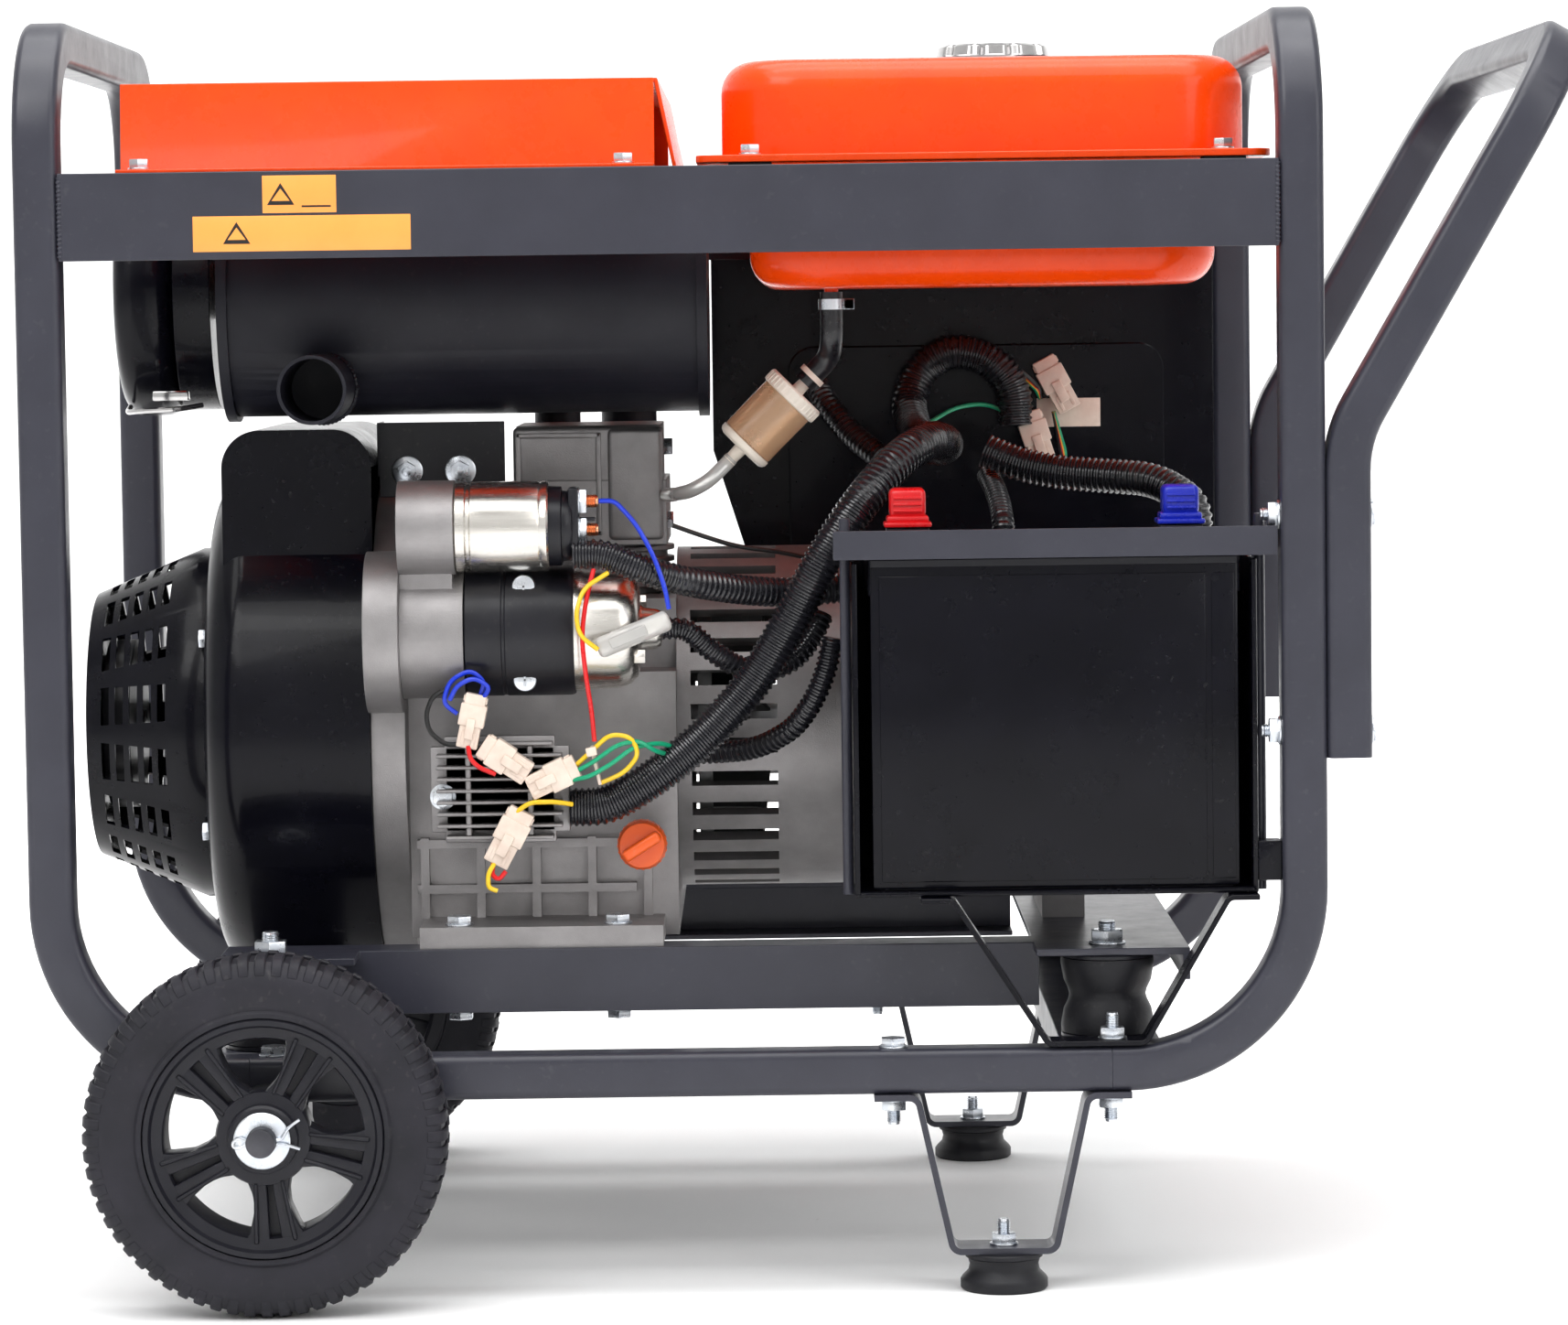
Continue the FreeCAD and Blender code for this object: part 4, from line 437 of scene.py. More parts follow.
DIAL = Finish("nylon_white", (0.85, 0.85, 0.83), (0.9, 0.9, 0.88), rough=(0.25, 0.35),
              depth=0.02, label="dial_white")
COPPER = Finish("solenoid_steel", (0.75, 0.32, 0.16), (0.85, 0.42, 0.24),
                rough=(0.25, 0.35), metallic=1.0, depth=0.05, label="copper_stud")
AMBER = Finish("orange_paint", (0.95, 0.33, 0.06), (0.97, 0.36, 0.07), rough=(0.3, 0.4),
               depth=0.02, dust=0.03, label="amber_label")
FILTER_CAP = Finish("filter_plastic", (0.78, 0.7, 0.6), (0.84, 0.77, 0.68),
                    rough=(0.3, 0.4), depth=0.03, label="filter_cap")

SLOT_FINISH = {item.slot: item for item in (
    FRAME_PAINT, ORANGE, BLACK_GLOSS, MUFFLER_BLACK, CAST, STEEL, SOLENOID, ZINC, CHROME, AXLE,
    IRON, TYRE, RUBBER, HOSE, RIM, PLASTIC, CONDUIT, NYLON, ORANGE_PLASTIC, RED_PLASTIC,
    BLUE_PLASTIC, FILTER_BOWL)}

FINISHES = Finishes()
NODE_SLOT = {row["node"]: row["material_slot"] for row in frame["record"]["subparts"]}
NODE_BODY = {node: body
             for body, members in frame["record"]["behaviour"]["bodies"].items()
             for node in members}


# ---------------------------------------------------------------- forms


def smooth_route(points: list[Vector], tight: float = 0.45) -> list[Vector]:
    """Points along straight runs joined by arcs that leave room for each other.

    Args:
        points: corners of the route.
        tight: share of the shorter run that an arc may use.

    Returns:
        The path, with points closer together in its bends.
    """
    path = [points[0]]
    for before, here, after in zip(points, points[1:], points[2:]):
        run_in, run_out = here - before, after - here
        reach = tight * min(run_in.length, run_out.length)
        start, end = here - run_in.normalized() * reach, here + run_out.normalized() * reach
        for k in range(ARC_STEPS + 1):
            share = k / ARC_STEPS
            path.append(start.lerp(here, share).lerp(here.lerp(end, share), share))
    path.append(points[-1])
    return path


def evenly(path: list[Vector], step: float) -> list[Vector]:
    """Space a path's points evenly.

    Args:
        path: the path.
        step: the spacing wanted, which the result comes close to.

    Returns:
        The same path with new points.
    """
    reach = [0.0]
    for a, b in zip(path, path[1:]):
        reach.append(reach[-1] + (b - a).length)
    count = max(2, round(reach[-1] / step))
    result, k = [], 0
    for i in range(count + 1):
        wanted = reach[-1] * i / count
        while k < len(path) - 2 and reach[k + 1] < wanted:
            k += 1
        share = (wanted - reach[k]) / max(reach[k + 1] - reach[k], 1e-9)
        result.append(path[k].lerp(path[k + 1], min(share, 1.0)))
    return result


class Form:
    """A mesh under construction, in millimetres about the middle of the tube frame."""

    def __init__(self) -> None:
        """Start with an empty mesh."""
        self.mesh = bmesh.new()

    def soften(self, edges: list, width: float, segments: int = 2) -> None:
        """Bevel some edges by a width."""
        bmesh.ops.bevel(self.mesh, geom=edges, offset=width, offset_type="OFFSET",
                        affect="EDGES", segments=segments, profile=0.5, material=-1,
                        clamp_overlap=True)

    def block(self, low: tuple, high: tuple, bevel: float = 0.0, segments: int = 2,
              turn: Matrix | None = None) -> "Form":
        """Add a block between two corners.

        Args:
            low: lowest corner.
            high: highest corner.
            bevel: width of its bevelled edges.
            segments: steps across each bevel.
            turn: rotation about its middle.

        Returns:
            The form itself.
        """
        low, high = Vector(low), Vector(high)
        size = Matrix.Diagonal((*(high - low), 1))
        place = Matrix.Translation((low + high) / 2) @ (turn or Matrix.Identity(4)) @ size
        made = bmesh.ops.create_cube(self.mesh, size=1.0, matrix=place)
        if bevel:
            edges = list({edge for vert in made["verts"] for edge in vert.link_edges})
            self.soften(edges, bevel, segments)
        return self

    def drum(self, axis: Axis, ends: tuple[float, float], centre: tuple, radius: float,
             radius_end: float | None = None, segments: int = 32,
             bevel: float = 0.0) -> "Form":
        """Add a cylinder or cone between two places along an axis.

        Args:
            axis: direction of its axis.
            ends: start and end along the axis.
            centre: any point on the axis.
            radius: radius at the start.
            radius_end: radius at the end, if it differs.
            segments: sides.
            bevel: width of the bevel at both rims.

        Returns:
            The form itself.
        """
        middle = Vector(centre)
        middle += axis.value * ((ends[0] + ends[1]) / 2 - middle.dot(axis.value))
        made = bmesh.ops.create_cone(
            self.mesh, cap_ends=True, segments=segments, radius1=radius,
            radius2=radius if radius_end is None else radius_end,
            depth=abs(ends[1] - ends[0]), matrix=Matrix.Translation(middle) @ axis.turn())
        if bevel:
            verts = set(made["verts"])
            caps = [face for face in self.mesh.faces
                    if len(face.verts) == segments and set(face.verts) <= verts]
            self.soften(list({edge for face in caps for edge in face.edges}), bevel)
        return self

    def lathe(self, axis: Axis, centre: tuple, profile: list[tuple[float, float]],
              steps: int = 64) -> "Form":
        """Add a turned shape.

        Args:
            axis: direction of its axis.
            centre: any point on the axis.
            profile: pairs of place along the axis and radius.
            steps: sides of the turned shape.

        Returns:
            The form itself.
        """
        centre = Vector(centre)
        centre -= axis.value * centre.dot(axis.value)
        side = Axis.X.value if axis is Axis.Z else Axis.Z.value
        verts = [self.mesh.verts.new(centre + axis.value * a + side * r) for a, r in profile]
        edges = [self.mesh.edges.new(pair) for pair in zip(verts, verts[1:])]
        bmesh.ops.spin(self.mesh, geom=verts + edges, cent=centre, axis=axis.value,
                       angle=FULL_TURN, steps=steps, use_merge=True, use_duplicate=False)
        bmesh.ops.remove_doubles(self.mesh, verts=self.mesh.verts, dist=MERGE)
        return self

    def ring_of(self, axis: Axis, centre: tuple, count: int) -> "Form":
        """Repeat everything made so far around an axis.

        Args:
            axis: direction of the axis.
            centre: any point on the axis.
            count: copies in the ring, the first included.

        Returns:
            The form itself.
        """
        geometry = self.mesh.verts[:] + self.mesh.edges[:] + self.mesh.faces[:]
        bmesh.ops.spin(self.mesh, geom=geometry, cent=centre, axis=axis.value,
                       angle=FULL_TURN * (count - 1) / count, steps=count - 1,
                       use_duplicate=True)
        return self

    def outline(self, points: list[tuple], push: tuple, bevel: float = 0.0,
                segments: int = 2) -> "Form":
        """Add a prism.

        Args:
            points: corners of its first face.
            push: vector from the first face to the last.
            bevel: width of its bevelled edges.
            segments: steps across each bevel.

        Returns:
            The form itself.
        """
        face = self.mesh.faces.new([self.mesh.verts.new(p) for p in points])
        first = set(face.verts)
        made = bmesh.ops.extrude_face_region(self.mesh, geom=[face])
        verts = [item for item in made["geom"] if isinstance(item, bmesh.types.BMVert)]
        bmesh.ops.translate(self.mesh, vec=push, verts=verts)
        if bevel:
            whole = set(verts) | {v for v in first if v.is_valid}
            self.soften(list({e for v in whole for e in v.link_edges}), bevel, segments)
        return self

    def tube(self, route: list[tuple], radius: float, sides: int = 14, step: float = 3.0,
             ridge: float = 0.0, pitch: float = 0.0) -> "Form":
        """Add a round hose along a route, with ring-shaped ridges if it has a pitch.

        Args:
            route: corners of the route.
            radius: its outer radius.
            sides: sides of its section.
            step: spacing of its rings.
            ridge: depth of the grooves between its ridges.
            pitch: spacing of the ridges.

        Returns:
            The form itself.
        """
        path = evenly(smooth_route([Vector(p) for p in route]), pitch / 4 if pitch else step)
        tangent = (path[1] - path[0]).normalized()
        side = tangent.orthogonal().normalized()
        rings = []
        for k, place in enumerate(path):
            ahead = (path[min(k + 1, len(path) - 1)] - path[max(k - 1, 0)]).normalized()
            side = (tangent.rotation_difference(ahead) @ side).normalized()
            tangent = ahead
            up = tangent.cross(side)
            wide = radius - ridge if pitch and k % 4 > 1 else radius
            rings.append([self.mesh.verts.new(
                place + (side * math.cos(a) + up * math.sin(a)) * wide)
                for a in [FULL_TURN * i / sides for i in range(sides)]])
        for one, two in zip(rings, rings[1:]):
            for i in range(sides):
                n = (i + 1) % sides
                self.mesh.faces.new((one[i], one[n], two[n], two[i]))
        self.mesh.faces.new(rings[0])
        self.mesh.faces.new(rings[-1])
        return self

    def join(self, other: "Form") -> "Form":
        """Move another form's mesh into this one.

        Args:
            other: the form, which is used up.

        Returns:
            The form itself.
        """
        data = bpy.data.meshes.new("joined")
        other.mesh.to_mesh(data)
        other.mesh.free()
        self.mesh.from_mesh(data)
        bpy.data.meshes.remove(data)
        return self

    def turned(self, degrees: float, axis: Axis, centre: tuple) -> "Form":
        """Rotate everything made so far about an axis through a centre."""
        bmesh.ops.rotate(self.mesh, cent=centre, verts=self.mesh.verts,
                         matrix=Matrix.Rotation(math.radians(degrees), 3, axis.value))
        return self

    def other_side(self) -> "Form":
        """Mirror everything to the other side of the machine's middle plane."""
        bmesh.ops.scale(self.mesh, vec=(1, -1, 1), verts=self.mesh.verts)
        return self

    def piece(self, name: str, body: str, finish: Finish, stands_for: tuple[str, ...] = (),
              smooth: float = 35.0) -> bpy.types.Object:
        """Finish the form as a named piece.

        Args:
            name: name of the piece.
            body: the body it rides on.
            finish: its finish.
            stands_for: CAD nodes that it replaces.
            smooth: edges sharper than this many degrees stay sharp.

        Returns:
            The new object.
        """
        shift = Matrix.Translation((FRAME_SHIFT * MM, 0, 0)) @ Matrix.Diagonal((MM, MM, MM, 1))
        bmesh.ops.transform(self.mesh, matrix=shift, verts=self.mesh.verts)
        bmesh.ops.recalc_face_normals(self.mesh, faces=self.mesh.faces)
        return finished(self.mesh, name, body, finish, stands_for, smooth)


def finished(mesh: bmesh.types.BMesh, name: str, body: str, finish: Finish,
             stands_for: tuple[str, ...], smooth: float) -> bpy.types.Object:
    """Turn a mesh into a piece that rides a body.

    Args:
        mesh: the mesh in metres, which is used up.
        name: name of the piece.
        body: the body it rides on.
        finish: its finish.
        stands_for: CAD nodes that it replaces.
        smooth: edges sharper than this many degrees stay sharp.

    Returns:
        The new object.
    """
    data = bpy.data.meshes.new(name)
    mesh.to_mesh(data)
    mesh.free()
    made = bpy.data.objects.new(name, data)
    bpy.context.collection.objects.link(made)
    data.polygons.foreach_set("use_smooth", [True] * len(data.polygons))
    data.set_sharp_from_angle(angle=math.radians(smooth))
    data.materials.clear()
    data.materials.append(FINISHES.material(finish))
    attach(made, body)
    if stands_for:
        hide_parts(*stands_for)
    LOG.info("%s: %d faces on %s", name, len(data.polygons), body)
    return made


def skin(node: str, bevel: float = 0.5, angle: float = 32.0,
         finish: Finish | None = None) -> bpy.types.Object:
    """Clean copy of a CAD node: merged, with soft edges, standing for the node.

    Args:
        node: the CAD node.
        bevel: width of the softened edges, in millimetres.
        angle: edges sharper than this many degrees are softened.
        finish: its finish, if not the one of its slot.

    Returns:
        The new object.
    """
    mesh = bmesh.new()
    mesh.from_mesh(frame["nodes"][node].data)
    bmesh.ops.remove_doubles(mesh, verts=mesh.verts, dist=2e-6)
    bmesh.ops.dissolve_limit(mesh, angle_limit=math.radians(0.5), verts=mesh.verts,
                             edges=mesh.edges)
    made = finished(mesh, f"{node}_skin", NODE_BODY[node],
                    finish or SLOT_FINISH[NODE_SLOT[node]], (node,), angle)
    soft = made.modifiers.new("soft_edges", "BEVEL")
    soft.width = bevel * MM
    soft.segments = 2
    soft.limit_method = "ANGLE"
    soft.angle_limit = math.radians(angle)
    soft.use_clamp_overlap = True
    return made


# ---------------------------------------------------------------- wheels


@dataclass
class Wheel:
    """Solid rubber tyre on a moulded rim with five double spokes."""

    centre: tuple[float, float, float] = (-227.0, 0.0, 100.0)
    face: float = -299.0
    back: float = -254.0
    radius: float = 100.0
    seat: float = 66.0
    lugs: int = 64
    spokes: int = 5

    def around(self, y: float, radius: float, degrees: float,
               aside: float = 0.0) -> tuple[float, float, float]:
        """Find a point of the wheel.

        Args:
            y: its place along the axle.
            radius: its distance from the axle.
            degrees: its angle.
            aside: how far it is shifted sideways in the wheel's plane.

        Returns:
            The point.
        """
        turn = math.radians(degrees)
        return (self.centre[0] + radius * math.cos(turn) - aside * math.sin(turn), y,
                self.centre[2] + radius * math.sin(turn) + aside * math.cos(turn))

    def tyre(self) -> Form:
        """Make the carcass with a bead line, and three rows of tread blocks.

        Returns:
            The form.
        """
        form = Form()
        half = math.pi * self.radius / self.lugs * 0.64
        shoulder = [(1.3, 89), (1.6, 91.5), (3.2, 95.2), (6.5, 98.2), (12, 99.9),
                    (17.5, 99.9), (17.5, 95), (5, 89)]
        for flip in (False, True):
            turn = 90 + (180 / self.lugs if flip else 0)
            row = []
            for along, r in shoulder:
                y = self.back - along if flip else self.face + along
                row.append(self.around(y, r, turn, -half))
            push = Vector(self.around(0, 1, turn, 2 * half)) - Vector(self.around(0, 1, turn))
            form.outline(row, push, 0.8, 1)
        middle = (self.face + self.back) / 2
        form.block((self.centre[0] - half * 0.9, middle - 4, self.centre[2] + 95),
                   (self.centre[0] + half * 0.9, middle + 4, self.centre[2] + 99.8), 0.7, 1)
        form.ring_of(Axis.Y, self.centre, self.lugs)
        f, b = self.face, self.back
        section = [(f + 6, self.seat), (f + 1.2, self.seat + 0.4), (f + 0.8, self.seat + 3),
                   (f + 2.2, self.seat + 4.5), (f + 0.6, 76), (f + 0.5, 86), (f + 2.6, 92.5),
                   (f + 7, 96.8), (f + 15, 97.8), (b - 15, 97.8), (b - 7, 96.8),
                   (b - 2.6, 92.5), (b - 0.5, 86), (b - 0.6, 76), (b - 2.2, self.seat + 4.5),
                   (b - 1.2, self.seat + 0.4), (b - 6, self.seat)]
        return form.lathe(Axis.Y, self.centre, section, 128)

    def rim(self) -> Form:
        """Make five pairs of ribs between a stepped hub and the ring that holds the tyre.

        Returns:
            The form.
        """
        form = Form()
        top, low = self.face + 5.0, self.face + 24.0
        for side in (-1, 1):
            rib = [(17, 1.6), (30, 1.8), (58, 3.4), (58, 19.0), (50, 13.5), (38, 9.6), (30, 9.8),
                   (22, 12.0), (14, 12.0)]
            form.outline([self.around(top, r, 60, side * a) for r, a in rib],
                         (0, low - top, 0), 1.3, 2)
            ridge = [(24, 6.2), (57, 9.4), (57, 12.0), (24, 8.2)]
            form.outline([self.around(top - 1.8, r, 60, side * a) for r, a in ridge],
                         (0, 4, 0), 0.6, 1)
        web = [(14, -4), (58, -6), (58, 6), (14, 4)]
        form.outline([self.around(top + 7, r, 60, a) for r, a in web],
                     (0, low - top - 8, 0), 0.4, 1)
        form.ring_of(Axis.Y, self.centre, self.spokes)
        f, b = self.face, self.back
        form.lathe(Axis.Y, self.centre, [
            (f + 2.0, self.seat), (f + 0.2, self.seat - 0.8), (f + 0.2, self.seat - 3.5),
            (f + 3.2, self.seat - 5), (f + 5.0, 55.5), (f + 7, 54.6), (b - 4, 55.6),
            (b - 1, 58), (b - 0.4, self.seat - 2), (b - 1.6, self.seat)], 96)
        form.lathe(Axis.Y, self.centre, [
            (f - 2, 8.1), (f - 2, 17.6), (f - 0.8, 19), (f + 3.5, 19.6), (f + 4.5, 25.5),
            (f + 7.5, 26.5), (b - 6, 25), (b + 2, 20), (b + 2, 8.1), (f - 2, 8.1)], 64)
        return form

    def keeper(self) -> Form:
        """Make the washer and the split pin with its eye and two sprung legs.

        Returns:
            The form.
        """
        f = self.face - 2.3
        x, _, z = self.centre
        form = Form()
        form.lathe(Axis.Y, self.centre, [(f, 8.2), (f, 14.9), (f - 0.5, 15.5), (f - 1.5, 15.5),
                                         (f - 2, 14.9), (f - 2, 8.2), (f, 8.2)], 64)
        y = f - 5
        for lean in (-1, 1):
            form.tube([(x + 8.3, y, z + lean), (x + 11, y, z + 1.5 * lean),
                       (x + 15, y, z + 3 + 5 * lean), (x + 21, y, z + 4 + 8 * lean)], 0.9, 8, 1)
        form.tube([(x - 8.3, y, z + 0.9), (x - 12, y, z + 2.4), (x - 15.5, y, z + 0.6),
                   (x - 15.5, y, z - 2.6), (x - 12, y, z - 3.4), (x - 8.3, y, z - 0.9)],
                  0.9, 8, 1)
        return form

    def build(self) -> None:
        """Make both wheels; the far one mirrors the near one."""
        for side in ("near", "far"):
            made = [self.tyre(), self.rim(), self.keeper()]
            if side == "far":
                made = [form.other_side() for form in made]
            made[0].piece(f"tyre_{side}_tread", f"wheel_{side}", TYRE, (f"tyre_{side}",))
            made[1].piece(f"rim_{side}_spokes", f"wheel_{side}", RIM, (f"rim_{side}",))
            stands_for = ("wheel_keepers",) if side == "near" else ()
            made[2].piece(f"keeper_{side}", "root", ZINC, stands_for)


# ---------------------------------------------------------------- fasteners


@dataclass
class Fasteners:
    """Hexagon heads on washers, with threads where a screw stands out."""

    node: str = "bolts"
    thread_pitch: float = 1.25

    def islands(self) -> list[list[Vector]]:
        """Split the CAD node into its separate bolts.

        Returns:
            The corner points of each.
        """
        mesh = bmesh.new()
        mesh.from_mesh(frame["nodes"][self.node].data)
        bmesh.ops.remove_doubles(mesh, verts=mesh.verts, dist=2e-6)
        left, groups = set(mesh.verts), []
        for seed in list(mesh.verts):
            if seed not in left:
                continue
            left.discard(seed)
            stack, group = [seed], []
            while stack:
                vert = stack.pop()
                group.append(Vector((vert.co.x / MM - FRAME_SHIFT, *(vert.co.yz / MM))))
                for edge in vert.link_edges:
                    other = edge.other_vert(vert)
                    if other in left:
                        left.discard(other)
                        stack.append(other)
            groups.append(group)
        mesh.free()
        return groups

    def one(self, form: Form, corners: list[Vector]) -> None:
        """Add one bolt, which keeps the place, size and direction of its CAD solid.

        Args:
            form: the form that it is added to.
            corners: corner points of the CAD solid.
        """
        low = Vector([min(c[i] for c in corners) for i in range(3)])
        high = Vector([max(c[i] for c in corners) for i in range(3)])
        span = high - low
        axis = min(Axis, key=lambda a: self.misfit(span, a))
        run = axis.value
        across = [span[i] for i in range(3) if run[i] == 0]
        flats = min(across)
        middle = (low + high) / 2
        heads, screw = [], []
        for corner in corners:
            offset = corner - middle
            away = (offset - run * offset.dot(run)).length
            (heads if away > flats * 0.45 else screw).append(corner.dot(run))
        start, end = min(heads), max(heads)
        stud = next((s for s in (min(screw, default=start), max(screw, default=end))
                     if s < start - 0.5 or s > end + 0.5), None)
        seat_low = (stud > end) if stud is not None else self.rests_low(axis, middle)
        seat, top = (start, end) if seat_low else (end, start)
        step = 1.0 if seat_low else -1.0
        form.drum(axis, tuple(sorted((seat, seat + step * 1.2))), middle, flats * 0.62,
                  segments=28, bevel=0.3)
        place = tuple(sorted((seat + step * 1.2, top)))
        form.drum(axis, place, middle, flats / math.sqrt(3), segments=6, bevel=0.55)
        form.drum(axis, tuple(sorted((top - step * 0.4, top + step * 0.02))), middle,
                  flats * 0.43, segments=24)
        if stud is not None:
            radius = flats * 0.3
            count = int(abs(stud - top) / self.thread_pitch * 2)
            threads = [(top, 0.1), (top, radius)]
            threads += [(top + step * self.thread_pitch * k / 2,
                         radius - (0.75 if k % 2 else 0)) for k in range(1, count)]
            threads += [(stud, radius - 0.8), (stud, 0.1)]
            form.lathe(axis, middle, threads, 16)

    @staticmethod
    def misfit(span: Vector, axis: Axis) -> float:
        """How far the two spans across an axis are from those of a hexagon."""
        across = sorted(span[i] for i in range(3) if axis.value[i] == 0)
        return abs(across[1] / across[0] - 2 / math.sqrt(3))

    @staticmethod
    def rests_low(axis: Axis, middle: Vector) -> bool:
        """Whether a plain head rests on the surface at the low end of its axis."""
        if axis is Axis.X:
            return middle.x > 0
        return middle.z > 160 or 134 < middle.z < 146

    def build(self) -> None:
        """Make every bolt as one piece in zinc plate."""
        form = Form()
        for corners in self.islands():
            self.one(form, corners)
        form.piece("zinc_bolts", "root", ZINC, (self.node,))


# ---------------------------------------------------------------- harness


@dataclass(frozen=True)
class Run:
    """One conduit or wire: its radius and the corners of its route."""

    radius: float
    route: tuple[tuple[float, float, float], ...]


CONDUITS = (
    Run(11, ((208, 156, 472), (207, 157, 496), (192, 158, 514), (168, 159, 520),
             (148, 160, 508), (140, 154, 486), (144, 126, 468), (152, 84, 461),
             (157, 36, 462), (158, -14, 465), (155, -60, 468), (146, -104, 471),
             (128, -140, 462), (105, -160, 438), (82, -167, 404), (63, -161, 368),
             (42, -160, 334), (14, -163, 304), (-18, -168, 280), (-42, -169, 267),
             (-61.6, -169, 267))),
    Run(8.5, ((-57.6, -182, 411), (-40, -182, 411), (-20, -184, 402), (6, -174, 394),
              (34, -152, 388), (62, -138, 385), (95.2, -132, 387))),
    Run(6.5, ((-8.6, -150, 366.5), (5, -150, 366.5), (19, -146, 353), (34, -141, 343),
              (52, -137, 340), (68, -133, 347), (78, -128, 361), (83, -124, 372))),
    Run(6.5, ((-1.6, -113, 292), (16, -113, 292), (44, -128, 295), (66, -142, 308),
              (78, -149, 326), (85, -151, 344), (88, -151, 360))),
    Run(10, ((179, -84, 463), (198, -88, 455), (222, -92, 450), (250, -98, 448),
             (276, -109, 446), (297, -124, 432), (297, -124, 408))),
    Run(6.5, ((181, -62, 448), (184, -84, 441), (186, -104, 433), (187, -124, 422),
              (187, -124, 408))),
    Run(8, ((84, 180.7, 497), (84, 165, 497), (90, 152, 486), (104, 142, 468),
            (122, 126, 454))),
)


@dataclass(frozen=True)
class Plug:
    """Pair of moulded connectors joined end to end."""

    middle: tuple[float, float, float]
    wide: float
    long: float
    lean: float


PLUGS = (Plug((-116, -184, 318), 12, 31, 12), Plug((-97.5, -184, 296), 14, 31, -56),
         Plug((-70.7, -184, 285.5), 14, 30, 65), Plug((-96, -184, 252), 15, 34, 28),
         Plug((220.5, 156, 464), 15, 34, -18), Plug((234, 172, 497), 15, 36, -28))
SLEEVE = Plug((-24, -191, 366), 12, 44, 68)


